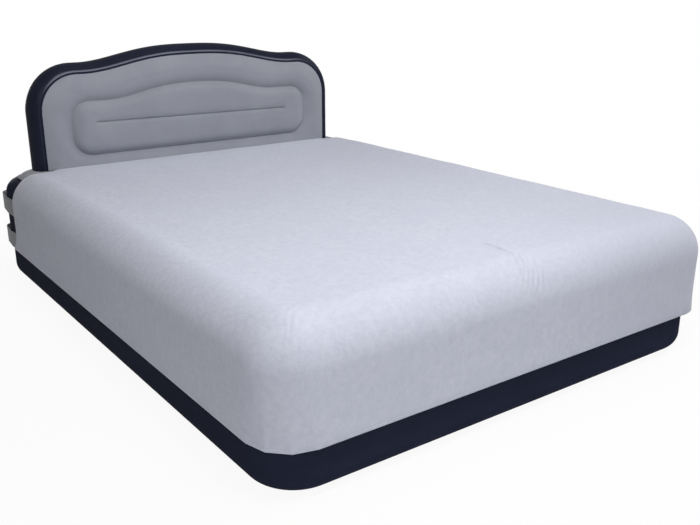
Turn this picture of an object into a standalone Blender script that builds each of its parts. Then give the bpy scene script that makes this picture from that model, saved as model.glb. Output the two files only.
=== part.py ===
"""Raised air bed with a fitted sheet, an inflated headboard and a built-in pump.

The head end is at +Y and the foot end at -Y. The origin is on the floor under the
middle of the bed. All lengths are in metres.
"""
import math

import bmesh
import bpy
from mathutils import Vector

# Clearance between pieces that touch on the real bed
GAP = 0.0003

# Mattress envelope: welded vinyl panels
MATTRESS_WIDTH = 1.520
MATTRESS_LENGTH = 2.030
MATTRESS_CORNER = 0.135
SLEEP_HEIGHT = 0.412
SHOULDER_RADIUS = 0.110
SHOULDER_SEAM_DEG = 53.0
VINYL = 0.0015
BASE_INSET = 0.005
BASE_EDGE_ROUND = 0.057
BASE_WELD_LAP = 0.015
WAIST_HEIGHT = 0.131
WAIST_BULGE_RISE = 0.018
WAIST_SEAM_RADIUS = 0.0022
TOP_SEAM_RADIUS = 0.0014
CORNER_STEPS = 6
ROUND_STEPS = 5
SEAM_SIDES = 5
SHARP_ANGLE_DEG = 35.0

# Tension beams inside the two air chambers
SLEEP_BEAM_COUNT = 7
BASE_BEAM_COUNT = 5
BEAM_END_CLEARANCE = 0.160
AIR_PORT_RADIUS = 0.016
AIR_PORT_INSET = 0.110

# Headboard: front and back panels, a bulging rim between them and piping on both edges.
# Rises start from the sheet's flat top, and a crown's rise from its shoulders.
HEADBOARD_SETBACK = 0.187
HEADBOARD_THICKNESS = 0.105
PANEL_HALF_WIDTH = 0.618
PANEL_SHOULDER_RISE = 0.341
PANEL_CROWN_RISE = 0.0535
PANEL_CORNER = 0.115
PANEL_FOOT_CORNER = 0.006
PANEL_CROWN_START_X = 0.080
PANEL_CROWN_END_X = 0.460
PANEL_BULGE = 0.009
PANEL_BULGE_INSET = 0.045
RIM_BULGE = 0.0375
PIPING_RADIUS = 0.0022
PAD_HALF_WIDTH = 0.512
PAD_BOTTOM_RISE = 0.034
PAD_SHOULDER_RISE = 0.238
PAD_CROWN_RISE = 0.046
PAD_UPPER_CORNER = 0.095
PAD_FOOT_CORNER = 0.085
PAD_CROWN_START_X = 0.060
PAD_CROWN_END_X = 0.370
PAD_BULGE = 0.007
PAD_BULGE_INSET = 0.026
PAD_GROOVE_WIDTH = 0.010
PAD_GROOVE_DEPTH = 0.009
WELD_LINE_RISE = 0.155
WELD_LINE_HALF_LENGTH = 0.420
WELD_LINE_WIDTH = 0.004
PAD_CREST_SHARE = 0.45
PANEL_RING_SHARE = 0.6
CORNER_ROUNDNESS = 1.6
OUTLINE_CORNER_STEPS = 6
OUTLINE_FOOT_STEPS = 6
OUTLINE_CROWN_STEPS = 16
RIM_STEPS = 8

# Fitted sheet and its two straps. Setbacks start from the head end, and the straps' rises
# from the waist.
SHEET_THICKNESS = 0.0012
SHEET_PROUD = 0.008
SHEET_CORNER = 0.114
SHEET_HEM_HEIGHT = 0.127
SHEET_HEM_FLARE = 0.0025
SHEET_HEM_CORNER_FLARE = 0.014
SHEET_FLARE_TOP = 0.215
SHEET_SIDE_SETBACK = 0.229
SHEET_HEM_SETBACK = 0.174
SHEET_TOP_SETBACK = 0.215
SHEET_TO_HEADBOARD = 0.005
SHEET_NOTCH_WIDTH = 0.030
STRAP_THICKNESS = 0.0012
STRAP_WIDTH = 0.060
STRAP_SEWN_LENGTH = 0.025
STRAP_BEND_INSET = 0.018
STRAP_BEND_RADIUS = 0.006
STRAP_ROWS = 7
STRAP_WALL_GAP = 0.0008
UPPER_STRAP_SIDE_RISE = 0.159
UPPER_STRAP_BEND_RISE = 0.146
UPPER_STRAP_PUMP_RISE = 0.181
LOWER_STRAP_SIDE_RISE = 0.032
LOWER_STRAP_BEND_RISE = 0.014
LOWER_STRAP_PUMP_RISE = -0.019
STRAP_LEVEL_HALF_LENGTH = 0.130
STRAP_RISE_STEPS = 6

# Pump: plate in the head wall, above the waist
PUMP_RISE = 0.082
PLATE_WIDTH = 0.200
PLATE_HEIGHT = 0.120
PLATE_CORNER = 0.018
PLATE_THICKNESS = 0.004
PLATE_RIM_HEIGHT = 0.002
PLATE_RIM_WIDTH = 0.005
GASKET_THICKNESS = 0.0015
GASKET_WIDTH = 0.008
TUB_WIDTH = 0.180
TUB_HEIGHT = 0.100
TUB_WALL = 0.002
TUB_CORNER = 0.010
TUB_DEPTH = 0.100
SCREW_INSET = 0.0125
SCREW_HEAD_RADIUS = 0.0032
SCREW_HEAD_HEIGHT = 0.0018
SCREW_SHANK_RADIUS = 0.0016
SCREW_SLOT_WIDTH = 0.0008

# Pump: cord compartment and its lid
LID_WIDTH = 0.068
LID_HEIGHT = 0.092
LID_CORNER = 0.006
LID_THICKNESS = 0.0025
LID_LEFT_X = -0.0820
LID_GRIP_WIDTH = 0.026
LID_GRIP_DEPTH = 0.002
LID_GRIP_HEIGHT = 0.004
HINGE_RADIUS = 0.0034
HINGE_PIN_RADIUS = 0.0012
HINGE_LEAD = 0.0052
HINGE_KNUCKLE_LENGTH = 0.056
HINGE_LUG_LENGTH = 0.009
CORD_BOX_DEPTH = 0.040
CORD_BOX_WALL = 0.0018
GLAND_RADIUS = 0.006
GLAND_BORE_RADIUS = 0.0033
GLAND_FLANGE_RADIUS = 0.009
GLAND_FLANGE_HEIGHT = 0.002
GLAND_TAIL = 0.010
GLAND_HEIGHT_OFFSET = -0.028

# Pump: knob, diverter, blower and motor share one axis
AXIS_X = 0.045
AXIS_Z = 0.006
KNOB_RADIUS = 0.023
KNOB_SKIRT_HEIGHT = 0.004
KNOB_HEIGHT = 0.009
KNOB_GRIP_WIDTH = 0.009
KNOB_GRIP_HEIGHT = 0.010
KNOB_TAPER = 0.0012
SPINDLE_RADIUS = 0.004
GRILLE_RADIUS = 0.034
GRILLE_THICKNESS = 0.003
GRILLE_SLOT_COUNT = 12
GRILLE_SLOT_INNER = 0.0250
GRILLE_SLOT_OUTER = 0.0315
GRILLE_SLOT_WIDTH = 0.0050
DIVERTER_CUP_RADIUS = 0.0335
DIVERTER_CUP_WALL = 0.0015
DIVERTER_CUP_DEPTH = 0.026
DIVERTER_THICKNESS = 0.014
DIVERTER_WINDOW_WIDTH = 0.014
FAN_RADIUS = 0.040
FAN_WALL = 0.0015
FAN_DEPTH = 0.023
FAN_INLET_RADIUS = 0.014
FAN_OUTLET_HEIGHT = 0.018
IMPELLER_RADIUS = 0.033
IMPELLER_HUB_RADIUS = 0.0075
IMPELLER_BACK = 0.0015
IMPELLER_WIDTH = 0.016
BLADE_COUNT = 9
BLADE_THICKNESS = 0.0014
BLADE_LEAN_DEG = 28.0
MOTOR_RADIUS = 0.020
MOTOR_LENGTH = 0.042
MOTOR_NECK_RADIUS = 0.009
MOTOR_NECK_LENGTH = 0.004
SHAFT_RADIUS = 0.002
BEARING_RADIUS = 0.006
MOTOR_PAD_WIDTH = 0.008
RUNNING_CLEARANCE = 0.0012
ROUND_SIDES = 24
SMALL_ROUND_SIDES = 16
PIN_SIDES = 12
HINGE_ARC_STEPS = 8

# Pump: rocker switch
SWITCH_Z = -0.0405
SWITCH_WIDTH = 0.024
SWITCH_HEIGHT = 0.013
SWITCH_FRAME = 0.0012
SWITCH_FRAME_HEIGHT = 0.0016
SWITCH_DEPTH = 0.014
ROCKER_THROW_DEG = 9.0
ROCKER_CROWN = 0.0022
ROCKER_BODY = 0.005

# Pump: spring-loaded check valve in the roof of the tub
VALVE_X = -0.045
VALVE_DEPTH = 0.068
VALVE_PORT_RADIUS = 0.017
VALVE_SEAT_RADIUS = 0.0235
VALVE_SEAT_HEIGHT = 0.003
VALVE_DISC_RADIUS = 0.0215
VALVE_DISC_THICKNESS = 0.003
VALVE_STEM_RADIUS = 0.0025
VALVE_HUB_RADIUS = 0.006
VALVE_GUIDE_HEIGHT = 0.004
VALVE_ARM_WIDTH = 0.004
VALVE_ARM_COUNT = 3
VALVE_LIFT = 0.010
SPRING_RADIUS = 0.0048
SPRING_WIRE = 0.0005
SPRING_LENGTH = 0.0180
SPRING_TURNS = 6
SPRING_TURN_STEPS = 10
CLIP_RADIUS = 0.0075
CLIP_HEIGHT = 0.0020

# How far a cutter passes the surface that it cuts
OVERRUN = 0.002

# Materials: linear red, green and blue, roughness, metallic value
FINISHES = {
    "navy_vinyl": ((0.011, 0.013, 0.026), 0.38, 0.0),
    "grey_flock": ((0.26, 0.27, 0.30), 0.85, 0.0),
    "pale_sheet": ((0.62, 0.63, 0.71), 0.9, 0.0),
    "grey_elastic": ((0.20, 0.205, 0.21), 0.85, 0.0),
    "clear_vinyl": ((0.55, 0.58, 0.60), 0.4, 0.0),
    "black_plastic": ((0.02, 0.02, 0.024), 0.45, 0.0),
    "grey_plastic": ((0.16, 0.17, 0.19), 0.5, 0.0),
    "steel": ((0.55, 0.55, 0.56), 0.3, 1.0),
    "brass": ((0.62, 0.45, 0.18), 0.35, 1.0),
    "rubber": ((0.015, 0.015, 0.015), 0.8, 0.0),
}


def clear_scene():
    """Remove every object that the file starts with."""
    for item in list(bpy.data.objects):
        bpy.data.objects.remove(item, do_unlink=True)


def make_material(name, color, roughness, metallic):
    """One Principled material."""
    material = bpy.data.materials.new(name)
    material.use_nodes = True
    shader = material.node_tree.nodes["Principled BSDF"]
    shader.inputs["Base Color"].default_value = (*color, 1)
    shader.inputs["Roughness"].default_value = roughness
    shader.inputs["Metallic"].default_value = metallic
    material.diffuse_color = (*color, 1)
    return material


def add_object(name, data, material, parent=None, place=(0, 0, 0)):
    """Put a mesh or curve into the scene as one named sub-part."""
    item = bpy.data.objects.new(name, data)
    bpy.context.collection.objects.link(item)
    item.parent = parent
    item.location = place
    if material is not None:
        data.materials.append(material)
    return item


def skin_mesh(name, loops, closed):
    """Mesh over loops of equal count: ends capped, or the last loop joined to the first."""
    shape = bmesh.new()
    rows = [[shape.verts.new(point) for point in loop] for loop in loops]
    following = rows[1:] + rows[:1] if closed else rows[1:]
    for low, high in zip(rows, following):
        for i in range(len(low)):
            j = (i + 1) % len(low)
            shape.faces.new((low[i], low[j], high[j], high[i]))
    if not closed:
        shape.faces.new(list(reversed(rows[0])))
        shape.faces.new(rows[-1])
    bmesh.ops.recalc_face_normals(shape, faces=shape.faces)
    mesh = bpy.data.meshes.new(name)
    shape.to_mesh(mesh)
    shape.free()
    mesh.shade_smooth()
    mesh.set_sharp_from_angle(angle=math.radians(SHARP_ANGLE_DEG))
    return mesh


def loft(name, loops, material, parent=None, place=(0, 0, 0), closed=False):
    """One closed solid skinned over loops."""
    return add_object(name, skin_mesh(name, loops, closed), material, parent, place)


def as_cutter(item):
    """Hide a shape that only cuts another or joins it."""
    item.hide_render = True
    item.display_type = 'WIRE'
    return item


def combine(target, other, operation='DIFFERENCE'):
    """Cut one solid out of another, or join them, with an exact boolean."""
    step = target.modifiers.new(operation.title(), 'BOOLEAN')
    step.operation = operation
    step.solver = 'EXACT'
    step.object = as_cutter(other)


def rounded_rectangle(half_x, half_y, radius, steps=CORNER_STEPS):
    """Points round a rectangle with round corners, anticlockwise from the right side."""
    points = []
    for quarter, (sx, sy) in enumerate(((1, 1), (-1, 1), (-1, -1), (1, -1))):
        for k in range(steps + 1):
            angle = math.radians(90) * (quarter + k / steps)
            x = sx * (half_x - radius) + radius * math.cos(angle)
            y = sy * (half_y - radius) + radius * math.sin(angle)
            points.append((x, y))
    return points


def arc(center, radius, start_deg, end_deg, steps):
    """Points of an arc in a plane, both ends included."""
    points = []
    for k in range(steps + 1):
        angle = math.radians(start_deg + (end_deg - start_deg) * k / steps)
        points.append((center[0] + radius * math.cos(angle), center[1] + radius * math.sin(angle)))
    return points


def offset_line(points, distance):
    """A line in a plane moved to its left by a distance, mitred at its points."""
    moved = []
    for i, point in enumerate(points):
        here = Vector(point)
        into = here - Vector(points[i - 1]) if i else Vector(points[1]) - here
        away = Vector(points[i + 1]) - here if i + 1 < len(points) else into
        into_left = Vector((-into.y, into.x)).normalized()
        away_left = Vector((-away.y, away.x)).normalized()
        middle = (into_left + away_left).normalized()
        moved.append(tuple(here + middle * distance / middle.dot(into_left)))
    return moved


def smooth_step(value):
    """Ease from 0 to 1 with level ends."""
    value = min(max(value, 0), 1)
    return value * value * (3 - 2 * value)


# Mattress envelope
def head_end(setback):
    """Place along the bed that lies a setback in from the head end."""
    return MATTRESS_LENGTH / 2 - setback


def bed_loop(outward, height):
    """Loop round the mattress, moved outward from its side, at a height."""
    half_x = MATTRESS_WIDTH / 2 + outward
    half_y = MATTRESS_LENGTH / 2 + outward
    return [(x, y, height) for x, y in rounded_rectangle(half_x, half_y, MATTRESS_CORNER + outward)]


def bed_ring(name, outer_line, thickness, material):
    """Shell that runs round the bed: a section line of outward and height, thickened inward."""
    section = outer_line + offset_line(outer_line, thickness)[::-1]
    return loft(name, [bed_loop(*point) for point in section], material, closed=True)


def bed_sheet_panel(name, outward, low, high, material):
    """Flat panel across the bed between two heights."""
    return loft(name, [bed_loop(outward, low), bed_loop(outward, high)], material)


def top_panel_height():
    """Height of the mattress's flat top, under the sheet."""
    return SLEEP_HEIGHT - SHEET_THICKNESS - GAP


def shoulder_center():
    """Centre of the shoulder's arc, as outward and height."""
    return (-SHOULDER_RADIUS, top_panel_height() - SHOULDER_RADIUS)


def seam_half_gap_deg():
    """Half of the clearance between side wall and top panel, as an angle on the shoulder."""
    return math.degrees(GAP / 2 / SHOULDER_RADIUS)


def membrane_heights():
    """Low and high face of the panel between the base and the sleeping chamber."""
    return (WAIST_HEIGHT - VINYL / 2, WAIST_HEIGHT + VINYL / 2)


def base_wall_line():
    """Outer section of the base's wall, from its weld lap up to the waist."""
    low = VINYL + GAP
    edge_center = (-BASE_INSET - BASE_EDGE_ROUND, low + BASE_EDGE_ROUND)
    lap = (edge_center[0] - BASE_WELD_LAP, low)
    bottom = arc(edge_center, BASE_EDGE_ROUND, -90, 0, ROUND_STEPS)
    return [lap, *bottom, (-BASE_INSET, WAIST_HEIGHT - GAP / 2)]


def side_wall_line():
    """Outer section of the mattress's wall, from the waist to the shoulder seam."""
    low = WAIST_HEIGHT + GAP / 2
    bulge = [(-BASE_INSET, low), (-BASE_INSET / 4, low + WAIST_BULGE_RISE / 3), (0, low + WAIST_BULGE_RISE)]
    end = SHOULDER_SEAM_DEG - seam_half_gap_deg()
    return bulge + arc(shoulder_center(), SHOULDER_RADIUS, 0, end, ROUND_STEPS)


def top_panel_line():
    """Outer section of the flocked top, from the shoulder seam to the flat top."""
    start = SHOULDER_SEAM_DEG + seam_half_gap_deg()
    return arc(shoulder_center(), SHOULDER_RADIUS, start, 90, ROUND_STEPS - 1)


def seam_bead(name, center, radius, material):
    """Welded bead round the bed, with a small round section."""
    section = arc(center, radius, 0, 360, SEAM_SIDES)[:-1]
    return loft(name, [bed_loop(*point) for point in section], material, closed=True)


def build_envelope(navy, flock):
    """Base, mattress walls, top and the seams between them."""
    base_edge = -BASE_INSET - BASE_EDGE_ROUND + BASE_WELD_LAP / 2
    bed_sheet_panel("base_panel", base_edge, 0, VINYL, navy)
    bed_ring("base_wall", base_wall_line(), VINYL, navy)
    membrane = bed_sheet_panel("middle_panel", -BASE_INSET - VINYL - GAP, *membrane_heights(), navy)
    for side in (-1, 1):
        place = (side * (MATTRESS_WIDTH / 2 - AIR_PORT_INSET), 0, WAIST_HEIGHT)
        bore = [(AIR_PORT_RADIUS, -OVERRUN), (AIR_PORT_RADIUS, OVERRUN)]
        combine(membrane, turned("air_port_cut", bore, 2, None, None, place))
    bed_ring("side_wall", side_wall_line(), VINYL, navy)
    outer = top_panel_line()
    loops = [bed_loop(*point) for point in offset_line(outer, VINYL)[::-1] + outer]
    loft("top_panel", loops, flock)
    seam_bead("waist_seam", (-BASE_INSET + GAP + WAIST_SEAM_RADIUS, WAIST_HEIGHT), WAIST_SEAM_RADIUS, navy)
    reach = SHOULDER_RADIUS + GAP + TOP_SEAM_RADIUS
    center = arc(shoulder_center(), reach, SHOULDER_SEAM_DEG, 90, 1)[0]
    seam_bead("top_seam", center, TOP_SEAM_RADIUS, navy)


def build_beams(count, label, low, high, material):
    """Upright tension strips that run the length of a chamber and hold its faces together."""
    half_y = MATTRESS_LENGTH / 2 - BEAM_END_CLEARANCE
    for i in range(count):
        x = MATTRESS_WIDTH * ((i + 1) / (count + 1) - 1 / 2)
        left = x - VINYL / 2
        right = x + VINYL / 2
        outline = [(left, -half_y), (right, -half_y), (right, half_y), (left, half_y)]
        loops = [[(px, py, height) for px, py in outline] for height in (low, high)]
        loft(f"{label}_{i + 1}", loops, material)


# Headboard
def crown_height(x, shoulder, crown, start_x, end_x):
    """Height of a crowned top edge at a distance from the middle."""
    share = min(max((abs(x) - start_x) / (end_x - start_x), 0), 1)
    return shoulder + (crown - shoulder) * (1 + math.cos(math.pi * share)) / 2


def round_corner(center, radius, start_deg, power, steps):
    """Quarter of a superellipse, a little flatter than an arc where its power is under 2."""
    points = []
    for k in range(steps + 1):
        angle = math.radians(start_deg + 90 * k / steps)
        cosine = math.cos(angle)
        sine = math.sin(angle)
        x = center[0] + radius * math.copysign(abs(cosine) ** (2 / power), cosine)
        z = center[1] + radius * math.copysign(abs(sine) ** (2 / power), sine)
        points.append((x, z))
    return points


def crowned_outline(half_width, bottom, shoulder, crown, corner, foot, start_x, end_x, power):
    """Outline from the middle of the bottom edge, anticlockwise as seen from the foot end."""
    right = [(0, bottom), ((half_width - foot) / 2, bottom)]
    right += round_corner((half_width - foot, bottom + foot), foot, -90, 2, OUTLINE_FOOT_STEPS)
    right += round_corner((half_width - corner, shoulder - corner), corner, 0, power, OUTLINE_CORNER_STEPS)
    top_end = half_width - corner
    for k in range(1, OUTLINE_CROWN_STEPS // 2):
        x = top_end * (1 - 2 * k / OUTLINE_CROWN_STEPS)
        right.append((x, crown_height(x, shoulder, crown, start_x, end_x)))
    left = [(-x, z) for x, z in right[:0:-1]]
    return right + [(0, crown)] + left


def headboard_bottom():
    """Height of the headboard's foot, on the mattress's top."""
    return top_panel_height() + GAP


def headboard_front_y():
    """Depth of the headboard's front edge."""
    return head_end(HEADBOARD_SETBACK)


def weld_line_height():
    """Height of the weld line across the pad."""
    return SLEEP_HEIGHT + WELD_LINE_RISE


def panel_outline(inset):
    """Outline of the headboard's front and back panels, drawn in by an inset."""
    shoulder = SLEEP_HEIGHT + PANEL_SHOULDER_RISE - inset
    return crowned_outline(
        PANEL_HALF_WIDTH - inset,
        headboard_bottom() + max(inset, 0),
        shoulder,
        shoulder + PANEL_CROWN_RISE,
        PANEL_CORNER - inset / 2,
        PANEL_FOOT_CORNER + max(inset, 0) / 2,
        PANEL_CROWN_START_X,
        PANEL_CROWN_END_X,
        CORNER_ROUNDNESS,
    )


def pad_outline(inset):
    """Outline of the raised pad on the front panel, drawn in by an inset."""
    shoulder = SLEEP_HEIGHT + PAD_SHOULDER_RISE - inset
    return crowned_outline(
        PAD_HALF_WIDTH - inset,
        SLEEP_HEIGHT + PAD_BOTTOM_RISE + inset,
        shoulder,
        shoulder + PAD_CROWN_RISE,
        PAD_UPPER_CORNER - inset / 2,
        PAD_FOOT_CORNER - inset / 2,
        PAD_CROWN_START_X,
        PAD_CROWN_END_X,
        2,
    )


def weld_line_loop():
    """The pad's outline shrunk onto the weld line across its middle."""
    loop = []
    for x, z in pad_outline(PAD_BULGE_INSET):
        near_x = min(max(x, -WELD_LINE_HALF_LENGTH), WELD_LINE_HALF_LENGTH)
        drop = math.copysign(WELD_LINE_WIDTH / 2, z - weld_line_height())
        reach = (x - near_x) / (PAD_HALF_WIDTH - WELD_LINE_HALF_LENGTH)
        loop.append((near_x + reach * WELD_LINE_WIDTH, weld_line_height() + drop))
    return loop


def blend_loops(first, second, share):
    """Loop part of the way from one loop to another."""
    return [(a[0] + (b[0] - a[0]) * share, a[1] + (b[1] - a[1]) * share) for a, b in zip(first, second)]


def front_panel_rings():
    """Outline and depth of each ring of the front panel, from its edge to the weld line."""
    edge_inset = PIPING_RADIUS + GAP
    groove = PAD_GROOVE_DEPTH - PANEL_BULGE
    pad_crest = blend_loops(pad_outline(PAD_BULGE_INSET), weld_line_loop(), PAD_CREST_SHARE)
    return [
        (panel_outline(edge_inset), 0),
        (panel_outline(PANEL_BULGE_INSET / 3), -PANEL_BULGE * 2 / 3),
        (blend_loops(panel_outline(PANEL_BULGE_INSET / 3), pad_outline(0), PANEL_RING_SHARE), -PANEL_BULGE),
        (pad_outline(-PAD_GROOVE_WIDTH), -PANEL_BULGE / 2),
        (pad_outline(0), groove),
        (pad_outline(PAD_GROOVE_WIDTH), -PAD_BULGE / 2),
        (pad_outline(PAD_BULGE_INSET), -PAD_BULGE),
        (pad_crest, -PAD_BULGE),
        (weld_line_loop(), groove),
    ]


def headboard_loop(outline, y):
    """Outline of width and height placed at a depth."""
    return [(x, y, z) for x, z in outline]


def outline_frames():
    """Points of the headboard's open outline, left foot to right foot, with outward normals."""
    whole = panel_outline(0)
    foot_index = 2 + OUTLINE_FOOT_STEPS
    rising = whole[foot_index:len(whole) - foot_index + 1]
    line = [(PANEL_HALF_WIDTH, headboard_bottom()), *rising, (-PANEL_HALF_WIDTH, headboard_bottom())]
    frames = []
    for i, point in enumerate(line):
        before = Vector(line[max(i - 1, 0)])
        after = Vector(line[min(i + 1, len(line) - 1)])
        along = (after - before).normalized()
        normal = Vector((along.y, -along.x))
        if i in (0, len(line) - 1):
            normal = Vector((math.copysign(1, point[0]), 0))
        frames.append((Vector(point), normal))
    return frames


def rim_section():
    """Closed section of the rim: outward bulge against depth, outer side then inner side."""
    lip = PIPING_RADIUS + GAP
    middle = headboard_front_y() + HEADBOARD_THICKNESS / 2
    outer = []
    inner = []
    for k in range(RIM_STEPS + 1):
        angle = math.pi * k / RIM_STEPS
        bulge = RIM_BULGE - lip
        outer.append((lip + bulge * math.sin(angle), middle - HEADBOARD_THICKNESS / 2 * math.cos(angle)))
        depth = HEADBOARD_THICKNESS / 2 - VINYL
        inner.append((lip + (bulge - VINYL) * math.sin(angle), middle - depth * math.cos(angle)))
    return outer + inner[::-1]


def build_rim(material):
    """Navy rim that bulges round the headboard's sides and top."""
    loops = []
    for point, normal in outline_frames():
        loop = []
        for outward, y in rim_section():
            spot = point + normal * outward
            loop.append((spot.x, y, spot.y))
        loops.append(loop)
    loft("headboard_rim", loops, material)


def piping(name, y, material):
    """Welded piping that follows the headboard's outline at one face."""
    curve = bpy.data.curves.new(name, 'CURVE')
    curve.dimensions = '3D'
    curve.bevel_depth = PIPING_RADIUS
    curve.bevel_resolution = 1
    curve.use_fill_caps = True
    frames = outline_frames()
    spline = curve.splines.new('POLY')
    spline.points.add(len(frames) - 1)
    for spot, (point, _) in zip(spline.points, frames):
        spot.co = (point.x, y, point.y, 1)
    add_object(name, curve, material)


def build_headboard(navy, flock):
    """Front and back panels, floor, rim, piping and the two inner webs."""
    back_y = headboard_front_y() + HEADBOARD_THICKNESS
    rings = front_panel_rings()
    back = [headboard_loop(outline, headboard_front_y() + depth + VINYL) for outline, depth in rings[::-1]]
    front = [headboard_loop(outline, headboard_front_y() + depth) for outline, depth in rings]
    loft("headboard_front", back + front, flock)
    edge = panel_outline(PIPING_RADIUS + GAP)
    loft("headboard_back", [headboard_loop(edge, back_y - VINYL), headboard_loop(edge, back_y)], navy)
    build_rim(navy)
    piping("headboard_front_piping", headboard_front_y(), navy)
    piping("headboard_back_piping", back_y, navy)
    floor_x = PANEL_HALF_WIDTH
    low = headboard_bottom()
    span = (headboard_front_y() + PIPING_RADIUS + GAP, back_y - PIPING_RADIUS - GAP)
    outline = [(-floor_x, span[0]), (floor_x, span[0]), (floor_x, span[1]), (-floor_x, span[1])]
    loft("headboard_floor", [[(x, y, z) for x, y in outline] for z in (low, low + VINYL)], navy)
    groove_y = headboard_front_y() + PAD_GROOVE_DEPTH - PANEL_BULGE + VINYL + GAP
    web_end = back_y - VINYL - GAP
    half_x = WELD_LINE_HALF_LENGTH - WELD_LINE_WIDTH
    strip = [(-half_x, groove_y), (half_x, groove_y), (half_x, web_end), (-half_x, web_end)]
    heights = (weld_line_height() - VINYL / 2, weld_line_height() + VINYL / 2)
    loft("headboard_web", [[(x, y, z) for x, y in strip] for z in heights], navy)
    section = [(VINYL / 2, groove_y), (VINYL / 2, web_end), (-VINYL / 2, web_end), (-VINYL / 2, groove_y)]
    loops = [headboard_loop(pad_outline(inset), y) for inset, y in section]
    loft("headboard_pad_web", loops, navy, closed=True)


# Fitted sheet
def sheet_row(outward, height, head_y, corner_flare):
    """One row of the sheet, from its head edge down the left side, round the foot and back."""
    half_x = MATTRESS_WIDTH / 2 + outward
    half_y = MATTRESS_LENGTH / 2 + outward
    radius = SHEET_CORNER + outward - SHEET_PROUD
    foot_left = arc((-half_x + radius, -half_y + radius), radius + corner_flare, 180, 270, CORNER_STEPS)
    foot_right = arc((half_x - radius, -half_y + radius), radius + corner_flare, 270, 360, CORNER_STEPS)
    if corner_flare:
        foot_left = flare_corner(foot_left, (-half_x + radius, -half_y + radius), corner_flare)
        foot_right = flare_corner(foot_right, (half_x - radius, -half_y + radius), corner_flare)
    line = [(-half_x, head_y), *foot_left, (0, -half_y), *foot_right, (half_x, head_y)]
    return [(x, y, height) for x, y in line]


def flare_corner(points, center, flare):
    """Ease a corner's flare to nothing at its two ends."""
    eased = []
    for k, point in enumerate(points):
        share = math.sin(math.pi * k / (len(points) - 1))
        away = Vector(point) - Vector(center)
        length = away.length - flare * (1 - share)
        eased.append(tuple(Vector(center) + away.normalized() * length))
    return eased


def sheet_line():
    """Section of the sheet's outer face, from its hem to the flat top."""
    center = (SHEET_PROUD - SHOULDER_RADIUS, SLEEP_HEIGHT - SHOULDER_RADIUS)
    skirt = [
        (SHEET_PROUD + SHEET_HEM_FLARE, SHEET_HEM_HEIGHT),
        (SHEET_PROUD + SHEET_HEM_FLARE / 3, (SHEET_HEM_HEIGHT + SHEET_FLARE_TOP) / 2),
        (SHEET_PROUD, SHEET_FLARE_TOP),
    ]
    return skirt + arc(center, SHOULDER_RADIUS, 0, 90, ROUND_STEPS + 1)


def sheet_rows():
    """Rows of the sheet from its hem to the flat top."""
    line = sheet_line()
    skirt_setbacks = [SHEET_HEM_SETBACK, SHEET_TOP_SETBACK, SHEET_SIDE_SETBACK]
    skirt_flares = [SHEET_HEM_CORNER_FLARE, SHEET_HEM_CORNER_FLARE / 3, 0]
    rows = []
    for k, (outward, height) in enumerate(line):
        if k < len(skirt_setbacks):
            rows.append(sheet_row(outward, height, head_end(skirt_setbacks[k]), skirt_flares[k]))
            continue
        share = (k - len(skirt_setbacks)) / (len(line) - 1 - len(skirt_setbacks))
        setback = SHEET_SIDE_SETBACK + (SHEET_TOP_SETBACK - SHEET_SIDE_SETBACK) * share
        rows.append(sheet_row(outward, height, head_end(setback), 0))
    return rows


def build_sheet(material):
    """Fitted sheet: top and skirt as one thin cloth, open at the head end."""
    shape = bmesh.new()
    rows = [[shape.verts.new(point) for point in row] for row in sheet_rows()]
    for low, high in zip(rows, rows[1:]):
        for i in range(len(low) - 1):
            shape.faces.new((low[i], low[i + 1], high[i + 1], high[i]))
    front_y = headboard_front_y() - SHEET_TO_HEADBOARD
    notch_x = PANEL_HALF_WIDTH
    edge = [(notch_x, head_end(SHEET_TOP_SETBACK)), (notch_x - SHEET_NOTCH_WIDTH, front_y)]
    edge += [(-x, y) for x, y in edge[::-1]]
    head = [shape.verts.new((x, y, SLEEP_HEIGHT)) for x, y in edge]
    shape.faces.new(rows[-1] + head)
    bmesh.ops.recalc_face_normals(shape, faces=shape.faces)
    if sum(face.normal.z * face.calc_area() for face in shape.faces) < 0:
        bmesh.ops.reverse_faces(shape, faces=shape.faces)
    mesh = bpy.data.meshes.new("fitted_sheet")
    shape.to_mesh(mesh)
    shape.free()
    mesh.shade_smooth()
    sheet = add_object("fitted_sheet", mesh, material)
    thicken = sheet.modifiers.new("Thickness", 'SOLIDIFY')
    thicken.thickness = SHEET_THICKNESS
    thicken.offset = -1
    thicken.use_even_offset = True


def outward_at(line, height):
    """How far out a section line lies at a height."""
    for low, high in zip(line, line[1:]):
        if low[1] <= height <= high[1]:
            return low[0] + (high[0] - low[0]) * (height - low[1]) / (high[1] - low[1])
    return line[-1][0]


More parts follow.
